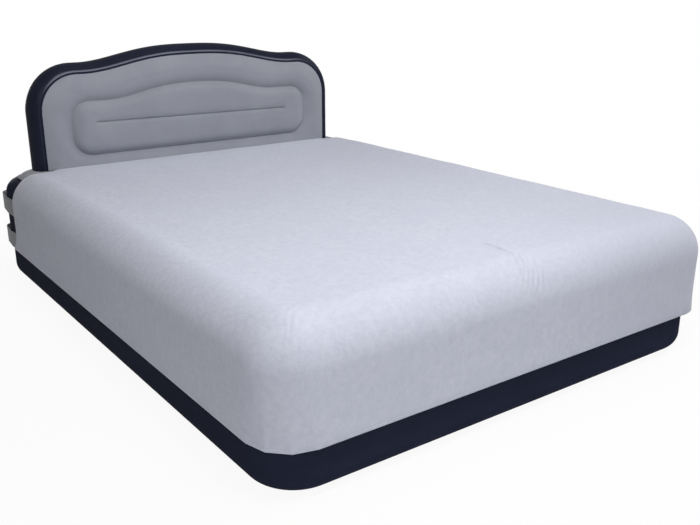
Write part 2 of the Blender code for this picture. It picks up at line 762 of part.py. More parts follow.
def strap_stations(side_rise, bend_rise, pump_rise):
    """Right half of a strap: place on the mattress's plan, middle height and the face it follows."""
    side_height = WAIST_HEIGHT + side_rise
    bend_height = WAIST_HEIGHT + bend_rise
    pump_height = WAIST_HEIGHT + pump_rise
    cloth = sheet_line()
    shoulder = [point for point in side_wall_line() if point[1] >= shoulder_center()[1]]
    wall = [(0, 0), *shoulder]
    under_sheet = SHEET_THICKNESS + GAP * 2 + STRAP_THICKNESS / 2
    sewn_x = MATTRESS_WIDTH / 2 - under_sheet
    wall_y = MATTRESS_LENGTH / 2 + STRAP_WALL_GAP + STRAP_THICKNESS / 2
    bend_x = MATTRESS_WIDTH / 2 + SHEET_PROUD - STRAP_BEND_INSET
    flat_x = MATTRESS_WIDTH / 2 - MATTRESS_CORNER
    stations = [
        (sewn_x, head_end(SHEET_SIDE_SETBACK) - STRAP_SEWN_LENGTH, side_height, cloth),
        (sewn_x, head_end(SHEET_SIDE_SETBACK) + STRAP_SEWN_LENGTH, side_height, cloth),
        (bend_x + STRAP_BEND_RADIUS / 2, wall_y - STRAP_BEND_RADIUS, bend_height, None),
        (bend_x, wall_y - STRAP_BEND_RADIUS / 4, bend_height, None),
        (bend_x - STRAP_BEND_RADIUS, wall_y, bend_height, None),
    ]
    for k in range(STRAP_RISE_STEPS + 1):
        share = k / STRAP_RISE_STEPS
        x = flat_x + (STRAP_LEVEL_HALF_LENGTH - flat_x) * share
        height = bend_height + (pump_height - bend_height) * smooth_step(share)
        stations.append((x, wall_y, height, wall))
    return stations


def build_strap(name, rises, material):
    """Elastic strap from one side edge of the sheet, round the head end, to the other."""
    right = strap_stations(*rises)
    stations = right + [(-x, y, height, face) for x, y, height, face in right[::-1]]
    loops = []
    for i, (x, y, height, face) in enumerate(stations):
        before = stations[max(i - 1, 0)]
        after = stations[min(i + 1, len(stations) - 1)]
        along = Vector((after[0] - before[0], after[1] - before[1])).normalized()
        across = Vector((along.y, -along.x))
        outer = []
        inner = []
        for row in range(STRAP_ROWS):
            z = height + STRAP_WIDTH * (row / (STRAP_ROWS - 1) - 1 / 2)
            middle = Vector((x, y))
            if face:
                middle += across * outward_at(face, z)
            outer.append((*(middle + across * STRAP_THICKNESS / 2), z))
            inner.append((*(middle - across * STRAP_THICKNESS / 2), z))
        loops.append(outer + inner[::-1])
    loft(name, loops, material)


# Shapes for the pump
def turned(name, profile, axis, material, parent, place, closed=False, sides=ROUND_SIDES):
    """Turned solid: a profile of radius and height round an axis through its place."""
    loops = []
    for radius, height in profile:
        loop = []
        for k in range(sides):
            angle = 2 * math.pi * k / sides
            spot = [radius * math.cos(angle), radius * math.sin(angle)]
            spot.insert(axis, height)
            loop.append(tuple(spot))
        loops.append(loop)
    return loft(name, loops, material, parent, place, closed)


def plate(name, half_x, half_z, corner, low_y, high_y, material, parent, place, steps=CORNER_STEPS // 2):
    """Plate with round corners that faces along Y."""
    outline = rounded_rectangle(half_x, half_z, corner, steps)
    loops = [[(x, y, z) for x, z in outline] for y in (low_y, high_y)]
    return loft(name, loops, material, parent, place)


def frame_loop(half_x, half_z, corner, y):
    """Loop with round corners that faces along Y."""
    return [(x, y, z) for x, z in rounded_rectangle(half_x, half_z, corner, CORNER_STEPS // 2)]


def prism_x(name, outline, half_x, material, parent, place):
    """Outline of depth and height extruded across the bed."""
    loops = [[(x, y, z) for y, z in outline] for x in (-half_x, half_x)]
    return loft(name, loops, material, parent, place)


def gasket_back():
    """Depth of the gasket's back, on the tub's flange."""
    return GAP + TUB_WALL + GAP


def plate_back():
    """Depth of the face plate's back, on the gasket."""
    return gasket_back() + GASKET_THICKNESS + GAP


def plate_front():
    """Depth of the face plate's front face."""
    return plate_back() + PLATE_THICKNESS


def build_tub(pump, navy, wall):
    """Tub welded into the head wall, with the wall's cut-out and the valve's port."""
    half_x = TUB_WIDTH / 2
    half_z = TUB_HEIGHT / 2
    inner = (half_x - TUB_WALL, half_z - TUB_WALL, TUB_CORNER - TUB_WALL)
    flange = (PLATE_WIDTH / 2, PLATE_HEIGHT / 2, PLATE_CORNER)
    outer = (half_x, half_z, TUB_CORNER)
    front = GAP + TUB_WALL
    loops = [
        frame_loop(*inner, -TUB_DEPTH + TUB_WALL),
        frame_loop(*inner, front),
        frame_loop(*flange, front),
        frame_loop(*flange, GAP),
        frame_loop(*outer, GAP),
        frame_loop(*outer, -TUB_DEPTH),
    ]
    tub = loft("pump_tub", loops, navy, pump)
    port_place = (VALVE_X, -VALVE_DEPTH, half_z - TUB_WALL / 2)
    port = [(VALVE_PORT_RADIUS, -OVERRUN), (VALVE_PORT_RADIUS, OVERRUN)]
    combine(tub, turned("valve_port_cut", port, 2, None, pump, port_place))
    hole = plate("wall_cut", half_x + GAP, half_z + GAP, TUB_CORNER, -VINYL - OVERRUN, OVERRUN, None, pump,
                 (0, 0, 0))
    combine(wall, hole)


def build_face_plate(pump, plastic, rubber, steel):
    """Face plate with its raised rim, openings and hinge lugs, the gasket and the screws."""
    half_x = PLATE_WIDTH / 2
    half_z = PLATE_HEIGHT / 2
    low = gasket_back()
    ring_inner = (half_x - GASKET_WIDTH, half_z - GASKET_WIDTH, PLATE_CORNER - GASKET_WIDTH)
    loops = [
        frame_loop(half_x, half_z, PLATE_CORNER, low),
        frame_loop(half_x, half_z, PLATE_CORNER, low + GASKET_THICKNESS),
        frame_loop(*ring_inner, low + GASKET_THICKNESS),
        frame_loop(*ring_inner, low),
    ]
    loft("plate_gasket", loops, rubber, pump, closed=True)
    front = plate_front()
    section = [
        (0, plate_back()),
        (0, front),
        (PLATE_RIM_WIDTH / 3, front + PLATE_RIM_HEIGHT),
        (PLATE_RIM_WIDTH * 2 / 3, front + PLATE_RIM_HEIGHT),
        (PLATE_RIM_WIDTH, front),
    ]
    loops = [frame_loop(half_x - inset, half_z - inset, PLATE_CORNER - inset, y) for inset, y in section]
    face = loft("pump_face_plate", loops, plastic, pump)
    lid_x = LID_LEFT_X + LID_WIDTH / 2
    mouth_half = (LID_WIDTH / 2 + GAP * 2, LID_HEIGHT / 2 + GAP * 2, LID_CORNER)
    through = (plate_back() - OVERRUN, front + OVERRUN)
    combine(face, plate("lid_cut", *mouth_half, *through, None, pump, (lid_x, 0, 0)))
    seat = [(GRILLE_RADIUS + GAP, depth) for depth in through]
    combine(face, turned("grille_cut", seat, 1, None, pump, (AXIS_X, 0, AXIS_Z)))
    switch_half = (SWITCH_WIDTH / 2 + GAP, SWITCH_HEIGHT / 2 + GAP, SWITCH_FRAME)
    combine(face, plate("switch_cut", *switch_half, *through, None, pump, (AXIS_X, 0, SWITCH_Z)))
    for sx in (-1, 1):
        for sz in (-1, 1):
            place = (sx * (half_x - SCREW_INSET), 0, sz * (half_z - SCREW_INSET))
            bore = [(SCREW_SHANK_RADIUS + GAP, depth) for depth in through]
            combine(face, turned("screw_cut", bore, 1, None, pump, place, sides=PIN_SIDES))
    build_hinge_lugs(pump, face)
    build_screws(pump, steel)


def hinge_place():
    """Axis of the lid's hinge, as a place on the pump's face."""
    return (LID_LEFT_X - HINGE_LEAD, plate_front() + HINGE_RADIUS + GAP * 2, 0)


def build_hinge_lugs(pump, face):
    """Two lugs on the face plate that hold the lid's hinge pin."""
    x, y, _ = hinge_place()
    middle = HINGE_KNUCKLE_LENGTH / 2 + GAP * 2 + HINGE_LUG_LENGTH / 2
    for side in (-1, 1):
        low = side * middle - HINGE_LUG_LENGTH / 2
        high = side * middle + HINGE_LUG_LENGTH / 2
        foot_y = plate_front() - PLATE_THICKNESS / 2 - y
        outline = [(-HINGE_RADIUS, foot_y), (HINGE_RADIUS, foot_y)]
        outline += arc((0, 0), HINGE_RADIUS, 0, 180, HINGE_ARC_STEPS)
        loops = [[(px, py, z) for px, py in outline] for z in (low, high)]
        combine(face, loft("lug_join", loops, None, pump, (x, y, 0)), 'UNION')
    bore = [(HINGE_PIN_RADIUS + GAP, -LID_HEIGHT), (HINGE_PIN_RADIUS + GAP, LID_HEIGHT)]
    combine(face, turned("lug_cut", bore, 2, None, pump, (x, y, 0), sides=PIN_SIDES))


def build_screws(pump, steel):
    """Four slotted screws through the face plate's corners."""
    half_x = PLATE_WIDTH / 2
    half_z = PLATE_HEIGHT / 2
    front = plate_front() + GAP
    profile = [
        (SCREW_SHANK_RADIUS, gasket_back()),
        (SCREW_SHANK_RADIUS, front),
        (SCREW_HEAD_RADIUS, front),
        (SCREW_HEAD_RADIUS, front + SCREW_HEAD_HEIGHT / 2),
        (SCREW_HEAD_RADIUS * 2 / 3, front + SCREW_HEAD_HEIGHT),
    ]
    corners = ((-1, -1), (1, -1), (1, 1), (-1, 1))
    for number, (sx, sz) in enumerate(corners, 1):
        place = (sx * (half_x - SCREW_INSET), 0, sz * (half_z - SCREW_INSET))
        screw = turned(f"plate_screw_{number}", profile, 1, steel, pump, place, sides=PIN_SIDES)
        slot = plate("slot_cut", SCREW_HEAD_RADIUS * 2, SCREW_SLOT_WIDTH / 2, SCREW_SLOT_WIDTH / 4,
                     front + SCREW_HEAD_HEIGHT / 2, front + SCREW_HEAD_HEIGHT + OVERRUN, None, pump, place, 1)
        combine(screw, slot)


def build_lid(pump, plastic, steel):
    """Lid of the cord compartment with its knuckle, finger grip and hinge pin."""
    x, y, z = hinge_place()
    to_lid = LID_LEFT_X - x
    back = plate_front() - LID_THICKNESS - y
    front = plate_front() - y
    lid_place = (to_lid + LID_WIDTH / 2, 0, 0)
    outline = rounded_rectangle(LID_WIDTH / 2, LID_HEIGHT / 2, LID_CORNER, CORNER_STEPS // 2)
    loops = [[(px + lid_place[0], py, pz) for px, pz in outline] for py in (back, front)]
    lid = loft("cord_lid", loops, plastic, pump, (x, y, z))
    half = HINGE_KNUCKLE_LENGTH / 2
    arm_y = HINGE_RADIUS * 2 / 3
    arm_x = to_lid + HINGE_LEAD
    arm = [(0, -arm_y), (arm_x, front - LID_THICKNESS / 2), (arm_x, arm_y / 2), (0, arm_y)]
    arm_half = half - HINGE_RADIUS / 2
    arm_loops = [[(px, py, pz) for px, py in arm] for pz in (-arm_half, arm_half)]
    combine(lid, loft("lid_arm_join", arm_loops, None, pump, (x, y, z)), 'UNION')
    knuckle = [(HINGE_RADIUS, -half), (HINGE_RADIUS, half)]
    combine(lid, turned("knuckle_join", knuckle, 2, None, pump, (x, y, z), sides=SMALL_ROUND_SIDES), 'UNION')
    bore = [(HINGE_PIN_RADIUS + GAP, -half - OVERRUN), (HINGE_PIN_RADIUS + GAP, half + OVERRUN)]
    combine(lid, turned("knuckle_cut", bore, 2, None, pump, (x, y, z), sides=PIN_SIDES))
    grip_x = to_lid + LID_WIDTH - LID_GRIP_HEIGHT
    grip_half = (LID_GRIP_HEIGHT / 2, LID_GRIP_WIDTH / 2, LID_GRIP_HEIGHT / 3)
    grip = plate("grip_join", *grip_half, front - LID_THICKNESS / 2, front + LID_GRIP_DEPTH, None, pump,
                 (x + grip_x, y, z))
    combine(lid, grip, 'UNION')
    reach = half + GAP * 2 + HINGE_LUG_LENGTH
    pin = [(HINGE_PIN_RADIUS, -reach), (HINGE_PIN_RADIUS, reach)]
    turned("lid_hinge_pin", pin, 2, steel, pump, (x, y, z), sides=PIN_SIDES)


def build_cord_box(pump, plastic, rubber):
    """Open box behind the lid that holds the mains lead, and the gland that the lead enters by."""
    half_x = LID_WIDTH / 2
    half_z = LID_HEIGHT / 2 - CORD_BOX_WALL
    front = plate_back() - GAP
    back = front - CORD_BOX_DEPTH
    outer = (half_x + CORD_BOX_WALL, half_z + CORD_BOX_WALL, LID_CORNER)
    inner = (half_x, half_z, LID_CORNER - CORD_BOX_WALL)
    loops = [
        frame_loop(*inner, back + CORD_BOX_WALL),
        frame_loop(*inner, front),
        frame_loop(*outer, front),
        frame_loop(*outer, back),
    ]
    place = (LID_LEFT_X + half_x, 0, 0)
    box = loft("cord_box", loops, plastic, pump, place)
    gland_place = (place[0], back, GLAND_HEIGHT_OFFSET)
    hole = [(GLAND_RADIUS + GAP, -OVERRUN), (GLAND_RADIUS + GAP, CORD_BOX_WALL + OVERRUN)]
    combine(box, turned("gland_cut", hole, 1, None, pump, gland_place, sides=SMALL_ROUND_SIDES))
    face = CORD_BOX_WALL + GAP
    profile = [
        (GLAND_BORE_RADIUS, -GLAND_TAIL),
        (GLAND_RADIUS - GAP, -GLAND_TAIL),
        (GLAND_RADIUS, face),
        (GLAND_FLANGE_RADIUS, face),
        (GLAND_FLANGE_RADIUS, face + GLAND_FLANGE_HEIGHT),
        (GLAND_BORE_RADIUS, face + GLAND_FLANGE_HEIGHT),
    ]
    turned("cord_gland", profile, 1, rubber, pump, gland_place, closed=True, sides=SMALL_ROUND_SIDES)


def grille_back():
    """Depth of the grille's back face."""
    return plate_front() - GRILLE_THICKNESS


def diverter_cup_front():
    """Depth of the diverter cup's mouth, on the face plate's back."""
    return plate_back() - GAP


def fan_cover_front():
    """Depth of the blower cover's front, on the diverter cup's floor."""
    return diverter_cup_front() - DIVERTER_CUP_DEPTH - GAP


def fan_front():
    """Depth of the blower housing's mouth, on the back of its cover."""
    return fan_cover_front() - FAN_WALL - GAP


def motor_front():
    """Depth of the motor's front face, on the back of the blower housing."""
    return fan_front() - FAN_DEPTH - GAP


def build_grille(pump, plastic):
    """Round air grille behind the knob, with a ring of slots and a bearing for the spindle."""
    place = (AXIS_X, 0, AXIS_Z)
    back = grille_back()
    bore = SPINDLE_RADIUS + GAP
    profile = [(bore, back), (GRILLE_RADIUS, back), (GRILLE_RADIUS, plate_front()), (bore, plate_front())]
    grille = turned("air_grille", profile, 1, plastic, pump, place, closed=True)
    middle = (GRILLE_SLOT_INNER + GRILLE_SLOT_OUTER) / 2
    half = (GRILLE_SLOT_OUTER - GRILLE_SLOT_INNER) / 2
    for k in range(GRILLE_SLOT_COUNT):
        angle = 2 * math.pi * (k + 1 / 2) / GRILLE_SLOT_COUNT
        spot = (AXIS_X + middle * math.cos(angle), 0, AXIS_Z + middle * math.sin(angle))
        slot = plate("grille_slot_cut", half, GRILLE_SLOT_WIDTH / 2, GRILLE_SLOT_WIDTH / 3, back - OVERRUN,
                     plate_front() + OVERRUN, None, pump, spot, 1)
        slot.rotation_euler = (0, -angle, 0)
        combine(grille, slot)


def build_knob(pump, plastic, steel):
    """Knob, its spindle and the diverter that it turns."""
    place = (AXIS_X, 0, AXIS_Z)
    foot = plate_front() + GAP
    bore = SPINDLE_RADIUS + GAP
    profile = [
        (KNOB_RADIUS, foot),
        (KNOB_RADIUS, foot + KNOB_SKIRT_HEIGHT),
        (KNOB_RADIUS - KNOB_TAPER * 2, foot + KNOB_SKIRT_HEIGHT + KNOB_TAPER),
        (KNOB_RADIUS - KNOB_TAPER * 3, foot + KNOB_HEIGHT - KNOB_TAPER),
        (KNOB_RADIUS - KNOB_TAPER * 4, foot + KNOB_HEIGHT),
    ]
    knob = turned("control_knob", profile, 1, plastic, pump, place)
    grip_top = foot + KNOB_HEIGHT + KNOB_GRIP_HEIGHT
    grip = plate("knob_grip_join", KNOB_GRIP_WIDTH / 2, KNOB_RADIUS - KNOB_TAPER * 5, KNOB_GRIP_WIDTH / 3,
                 foot + KNOB_HEIGHT / 2, grip_top, None, pump, place)
    combine(knob, grip, 'UNION')
    hole = [(bore, foot - OVERRUN), (bore, foot + KNOB_HEIGHT)]
    combine(knob, turned("knob_cut", hole, 1, None, pump, place))
    diverter_front = diverter_cup_front() - RUNNING_CLEARANCE
    diverter_back = diverter_front - DIVERTER_THICKNESS
    shank = [(SPINDLE_RADIUS, diverter_back), (SPINDLE_RADIUS, foot + KNOB_HEIGHT - GAP)]
    turned("knob_spindle", shank, 1, steel, pump, place)
    rotor_radius = DIVERTER_CUP_RADIUS - DIVERTER_CUP_WALL - GAP
    rotor = [
        (bore, diverter_back),
        (rotor_radius, diverter_back),
        (rotor_radius, diverter_front),
        (bore, diverter_front),
    ]
    diverter = turned("air_diverter", rotor, 1, plastic, pump, place, closed=True)
    window_middle = (rotor_radius + SPINDLE_RADIUS) / 2
    window_place = (AXIS_X, 0, AXIS_Z + window_middle)
    window_half = (DIVERTER_WINDOW_WIDTH / 2, DIVERTER_WINDOW_WIDTH / 2, DIVERTER_WINDOW_WIDTH / 4)
    through = (diverter_back - OVERRUN, diverter_front + OVERRUN)
    combine(diverter, plate("diverter_cut", *window_half, *through, None, pump, window_place))


def cup_profile(radius, wall, front, depth, floor_bore):
    """Closed profile of a round cup that opens towards the face plate, with a bore in its floor."""
    back = front - depth
    return [
        (radius - wall, front),
        (radius, front),
        (radius, back),
        (floor_bore, back),
        (floor_bore, back + wall),
        (radius - wall, back + wall),
    ]


def build_blower(pump, plastic, steel, brass, rubber):
    """Diverter cup, blower housing and cover, impeller, shaft, bearing, motor and its rubber pad."""
    place = (AXIS_X, 0, AXIS_Z)
    cup_front = diverter_cup_front()
    cup = cup_profile(DIVERTER_CUP_RADIUS, DIVERTER_CUP_WALL, cup_front, DIVERTER_CUP_DEPTH, FAN_INLET_RADIUS)
    turned("diverter_cup", cup, 1, plastic, pump, place, closed=True)
    cover_back = fan_cover_front() - FAN_WALL
    cover = [(FAN_INLET_RADIUS, cover_back), (FAN_RADIUS, cover_back), (FAN_RADIUS, fan_cover_front()),
             (FAN_INLET_RADIUS, fan_cover_front())]
    turned("blower_cover", cover, 1, plastic, pump, place, closed=True)
    neck_hole = MOTOR_NECK_RADIUS + GAP
    housing = cup_profile(FAN_RADIUS, FAN_WALL, fan_front(), FAN_DEPTH, neck_hole)
    fan = turned("blower_housing", housing, 1, plastic, pump, place, closed=True)
    outlet_y = fan_front() - FAN_DEPTH / 2
    outlet_place = (AXIS_X - FAN_RADIUS, outlet_y, AXIS_Z)
    half_y = FAN_DEPTH / 2 - FAN_WALL * 2
    outlet_half = (FAN_RADIUS / 2, FAN_OUTLET_HEIGHT / 2, FAN_WALL)
    combine(fan, plate("outlet_cut", *outlet_half, -half_y, half_y, None, pump, outlet_place))
    impeller_back = fan_front() - FAN_DEPTH + MOTOR_NECK_LENGTH + RUNNING_CLEARANCE
    build_impeller(pump, plastic, place, impeller_back)
    bearing_bore = SHAFT_RADIUS + GAP
    back = motor_front() - MOTOR_LENGTH
    neck_front = motor_front() + MOTOR_NECK_LENGTH
    shaft = [(SHAFT_RADIUS, back + MOTOR_LENGTH / 2), (SHAFT_RADIUS, impeller_back + IMPELLER_WIDTH)]
    turned("motor_shaft", shaft, 1, steel, pump, place, sides=SMALL_ROUND_SIDES)
    motor = [
        (BEARING_RADIUS + GAP, back + MOTOR_LENGTH / 2 - OVERRUN),
        (BEARING_RADIUS + GAP, neck_front),
        (MOTOR_NECK_RADIUS, neck_front),
        (MOTOR_NECK_RADIUS, motor_front()),
        (MOTOR_RADIUS, motor_front()),
        (MOTOR_RADIUS, back),
        (MOTOR_NECK_RADIUS, back),
        (MOTOR_NECK_RADIUS, back + MOTOR_LENGTH / 2 - OVERRUN),
    ]
    turned("motor_case", motor, 1, steel, pump, place, closed=True)
    bearing_back = motor_front() - MOTOR_NECK_LENGTH
    bearing = [(bearing_bore, bearing_back), (BEARING_RADIUS, bearing_back), (BEARING_RADIUS, neck_front),
               (bearing_bore, neck_front)]
    turned("motor_bearing", bearing, 1, brass, pump, place, closed=True, sides=SMALL_ROUND_SIDES)
    pad_back = -TUB_DEPTH + TUB_WALL + GAP
    pad = [(MOTOR_RADIUS - MOTOR_PAD_WIDTH, pad_back), (MOTOR_RADIUS, pad_back), (MOTOR_RADIUS, back - GAP),
           (MOTOR_RADIUS - MOTOR_PAD_WIDTH, back - GAP)]
    turned("motor_pad", pad, 1, rubber, pump, place, closed=True)


def build_impeller(pump, plastic, place, back):
    """Backplate and hub with leaning blades, in one piece."""
    front = back + IMPELLER_WIDTH
    bore = SHAFT_RADIUS + GAP
    disc = back + IMPELLER_BACK
    profile = [(bore, back), (IMPELLER_RADIUS, back), (IMPELLER_RADIUS, disc), (IMPELLER_HUB_RADIUS, disc),
               (IMPELLER_HUB_RADIUS, front), (bore, front)]
    impeller = turned("impeller", profile, 1, plastic, pump, place, closed=True)
    inner = IMPELLER_HUB_RADIUS * 3 / 2
    half = (IMPELLER_RADIUS - inner) / 2
    reach = IMPELLER_RADIUS - half * math.cos(math.radians(BLADE_LEAN_DEG)) - BLADE_THICKNESS
    for k in range(BLADE_COUNT):
        angle = 2 * math.pi * k / BLADE_COUNT
        spot = (place[0] + reach * math.cos(angle), 0, place[2] + reach * math.sin(angle))
        blade = plate("blade_join", half, BLADE_THICKNESS / 2, BLADE_THICKNESS / 3, back + IMPELLER_BACK / 2,
                      front, None, pump, spot, 1)
        blade.rotation_euler = (0, -angle - math.radians(BLADE_LEAN_DEG), 0)
        combine(impeller, blade, 'UNION')


def build_switch(pump, plastic, dark):
    """Rocker switch: a framed body that clips into the face plate and the rocker on its axle."""
    place = (AXIS_X, 0, SWITCH_Z)
    half_x = SWITCH_WIDTH / 2
    half_z = SWITCH_HEIGHT / 2
    frame = SWITCH_FRAME
    front = plate_front() + SWITCH_FRAME_HEIGHT
    back = plate_back() - SWITCH_DEPTH
    loops = [
        frame_loop(half_x - frame, half_z - frame, frame / 2, back + frame),
        frame_loop(half_x - frame, half_z - frame, frame / 2, front),
        frame_loop(half_x + frame, half_z + frame, frame * 2, front),
        frame_loop(half_x + frame, half_z + frame, frame * 2, plate_front() + GAP),
        frame_loop(half_x, half_z, frame, plate_front() + GAP),
        frame_loop(half_x, half_z, frame, back),
    ]
    loft("switch_body", loops, dark, pump, place)
    clear_z = half_z - frame - GAP
    crown = front + ROCKER_CROWN
    throw = math.radians(ROCKER_THROW_DEG)
    axle_y = plate_front()
    drop = clear_z * math.tan(throw)
    body = ROCKER_BODY
    level = front - axle_y + GAP
    outline = [
        (-body, -clear_z / 2),
        (level, -clear_z * math.cos(throw) + level * math.sin(throw)),
        (level + drop, -clear_z * math.cos(throw) + level * math.sin(throw)),
        (crown - axle_y - ROCKER_CROWN / 2, 0),
        (level + drop, clear_z * math.cos(throw) - level * math.sin(throw)),
        (level, clear_z * math.cos(throw) - level * math.sin(throw)),
        (-body, clear_z / 2),
    ]
    cosine = math.cos(throw)
    sine = math.sin(throw)
    tilted = [(y * cosine + z * sine, z * cosine - y * sine) for y, z in outline]
    prism_x("rocker_switch", tilted, half_x - frame - GAP, plastic, pump, (AXIS_X, axle_y, SWITCH_Z))


def build_valve(pump, plastic, rubber, steel):
    """Check valve in the tub's roof: seat, disc and stem, guide, spring and the clip under it."""
    roof_out = TUB_HEIGHT / 2
    roof_in = roof_out - TUB_WALL
    place = (VALVE_X, -VALVE_DEPTH, 0)
    seat_low = roof_out + GAP
    seat_high = seat_low + VALVE_SEAT_HEIGHT
    seat = [(VALVE_PORT_RADIUS, seat_low), (VALVE_SEAT_RADIUS, seat_low), (VALVE_SEAT_RADIUS, seat_high),
            (VALVE_PORT_RADIUS, seat_high)]
    turned("valve_seat", seat, 2, rubber, pump, place, closed=True)
    hub_high = roof_in - GAP
    hub_low = hub_high - VALVE_GUIDE_HEIGHT
    clip_high = hub_low - GAP - SPRING_LENGTH - GAP
    clip_low = clip_high - CLIP_HEIGHT
    disc_low = seat_high + GAP
    disc_high = disc_low + VALVE_DISC_THICKNESS
    disc = [
        (VALVE_STEM_RADIUS, clip_low),
        (VALVE_STEM_RADIUS, disc_low),
        (VALVE_DISC_RADIUS, disc_low),
        (VALVE_DISC_RADIUS, disc_high - VALVE_DISC_THICKNESS / 3),
        (VALVE_DISC_RADIUS - VALVE_DISC_THICKNESS, disc_high),
    ]
    turned("valve_disc", disc, 2, plastic, pump, place)
    bore = VALVE_STEM_RADIUS + GAP
    hub = [(bore, hub_low), (VALVE_HUB_RADIUS, hub_low), (VALVE_HUB_RADIUS, hub_high), (bore, hub_high)]
    guide = turned("valve_guide", hub, 2, plastic, pump, place, closed=True)
    inner = VALVE_HUB_RADIUS - GAP * 2
    outer = (VALVE_PORT_RADIUS + VALVE_SEAT_RADIUS) / 2
    for k in range(VALVE_ARM_COUNT):
        angle = 2 * math.pi * k / VALVE_ARM_COUNT
        half = (outer - inner) / 2
        arm_x = place[0] + (inner + half) * math.cos(angle)
        arm_y = place[1] + (inner + half) * math.sin(angle)
        outline = rounded_rectangle(half, VALVE_ARM_WIDTH / 2, VALVE_ARM_WIDTH / 4, 1)
        loops = [[(x, y, z) for x, y in outline] for z in (hub_high - VALVE_GUIDE_HEIGHT / 2, hub_high)]
        arm = loft("guide_join", loops, None, pump, (arm_x, arm_y, 0))
        arm.rotation_euler = (0, 0, angle)
        combine(guide, arm, 'UNION')
    clip = [(bore, clip_low), (CLIP_RADIUS, clip_low), (CLIP_RADIUS, clip_high), (bore, clip_high)]
    turned("valve_clip", clip, 2, steel, pump, place, closed=True)
    build_spring(pump, steel, place, clip_high + GAP, hub_low - GAP)


def build_spring(pump, steel, place, low, high):
    """Coil spring round the stem, between the clip and the guide's hub."""
    curve = bpy.data.curves.new("valve_spring", 'CURVE')
    curve.dimensions = '3D'
    curve.bevel_depth = SPRING_WIRE
    curve.bevel_resolution = 0
    curve.use_fill_caps = True
    count = SPRING_TURNS * SPRING_TURN_STEPS
    spline = curve.splines.new('POLY')
    spline.points.add(count)
    start = low + SPRING_WIRE
    rise = high - low - SPRING_WIRE * 2
    for k, point in enumerate(spline.points):
        angle = 2 * math.pi * k / SPRING_TURN_STEPS
        height = start + rise * k / count
        point.co = (SPRING_RADIUS * math.cos(angle), SPRING_RADIUS * math.sin(angle), height, 1)
    add_object("valve_spring", curve, steel, pump, place)


def main():
    """Build every piece of the bed."""
    clear_scene()
    finish = {name: make_material(name, *values) for name, values in FINISHES.items()}
    navy = finish["navy_vinyl"]
    flock = finish["grey_flock"]
    elastic = finish["grey_elastic"]
    clear = finish["clear_vinyl"]
    black = finish["black_plastic"]
    grey = finish["grey_plastic"]
    steel = finish["steel"]
    rubber = finish["rubber"]

    build_envelope(navy, flock)
    low, high = membrane_heights()
    build_beams(SLEEP_BEAM_COUNT, "sleep_beam", high + GAP, top_panel_height() - VINYL - GAP, clear)
    build_beams(BASE_BEAM_COUNT, "base_beam", VINYL + GAP, low - GAP, clear)
    build_headboard(navy, flock)
    build_sheet(finish["pale_sheet"])
    build_strap("upper_strap", (UPPER_STRAP_SIDE_RISE, UPPER_STRAP_BEND_RISE, UPPER_STRAP_PUMP_RISE), elastic)
    build_strap("lower_strap", (LOWER_STRAP_SIDE_RISE, LOWER_STRAP_BEND_RISE, LOWER_STRAP_PUMP_RISE), elastic)

    pump = add_object("pump_place", None, None, None, (0, head_end(0), WAIST_HEIGHT + PUMP_RISE))
    build_tub(pump, navy, bpy.data.objects["side_wall"])
    build_face_plate(pump, grey, rubber, steel)
    build_lid(pump, black, steel)
    build_cord_box(pump, grey, rubber)
    build_grille(pump, black)
    build_knob(pump, black, steel)
    build_blower(pump, grey, steel, finish["brass"], rubber)
    build_switch(pump, black, grey)
    build_valve(pump, grey, rubber, steel)


main()
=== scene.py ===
"""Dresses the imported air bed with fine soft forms, procedural materials, light and a camera.

The head end is at +Y and the foot end at -Y. Lengths are in metres, in the CAD's frame.
"""
import math

import bpy
import numpy as np
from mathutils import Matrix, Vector, noise


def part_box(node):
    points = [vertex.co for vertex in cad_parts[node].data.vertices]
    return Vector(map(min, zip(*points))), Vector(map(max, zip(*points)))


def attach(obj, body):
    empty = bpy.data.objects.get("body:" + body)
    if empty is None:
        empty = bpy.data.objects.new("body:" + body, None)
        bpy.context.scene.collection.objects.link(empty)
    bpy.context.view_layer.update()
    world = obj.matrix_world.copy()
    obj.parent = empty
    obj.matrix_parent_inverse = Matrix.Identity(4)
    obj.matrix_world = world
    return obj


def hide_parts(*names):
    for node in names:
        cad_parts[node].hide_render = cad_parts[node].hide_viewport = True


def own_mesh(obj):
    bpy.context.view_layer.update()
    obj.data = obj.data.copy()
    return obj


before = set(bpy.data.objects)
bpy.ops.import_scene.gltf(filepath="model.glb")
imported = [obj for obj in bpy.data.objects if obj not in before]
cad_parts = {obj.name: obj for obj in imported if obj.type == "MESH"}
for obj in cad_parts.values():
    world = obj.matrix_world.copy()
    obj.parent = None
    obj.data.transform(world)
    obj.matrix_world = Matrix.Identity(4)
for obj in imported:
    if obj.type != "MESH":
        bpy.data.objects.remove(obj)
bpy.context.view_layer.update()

# Mattress, repeated from the part
HALF_X = 0.760
HALF_Y = 1.015
CORNER = 0.135
TOP = 0.4105
SHOULDER = 0.110
SEAM_DEG = 53.0
SHOULDER_FOOT = TOP - SHOULDER
BASE_INSET = 0.005
BASE_ROUND = 0.052
WAIST = 0.131
WAIST_SEAM_RADIUS = 0.0022
TOP_SEAM_RADIUS = 0.0014

# Mattress skins: the base's lap, the wall's turn at the waist, the top's inner rows and its middle line
BASE_FLOOR = 0.0018
BASE_LAP = (0.015, 0.008)
WAIST_GAP = 0.00015
WAIST_FADE = 0.03
WAIST_TURN = ((-0.005, 0.1312), (-0.0031, 0.134), (-0.0015, 0.138), (-0.0004, 0.144), (0, 0.149))
WALL_FROM = 0.155
TOP_ROWS = (0.006, 0.014, 0.022)
TOP_SPINE = 0.2
CORNER_STEPS, SIDE_STEPS, END_STEPS = 28, 80, 64
WAIST_SEAM_OUT = 0.0003
TOP_SEAM_OUT = 0.0017

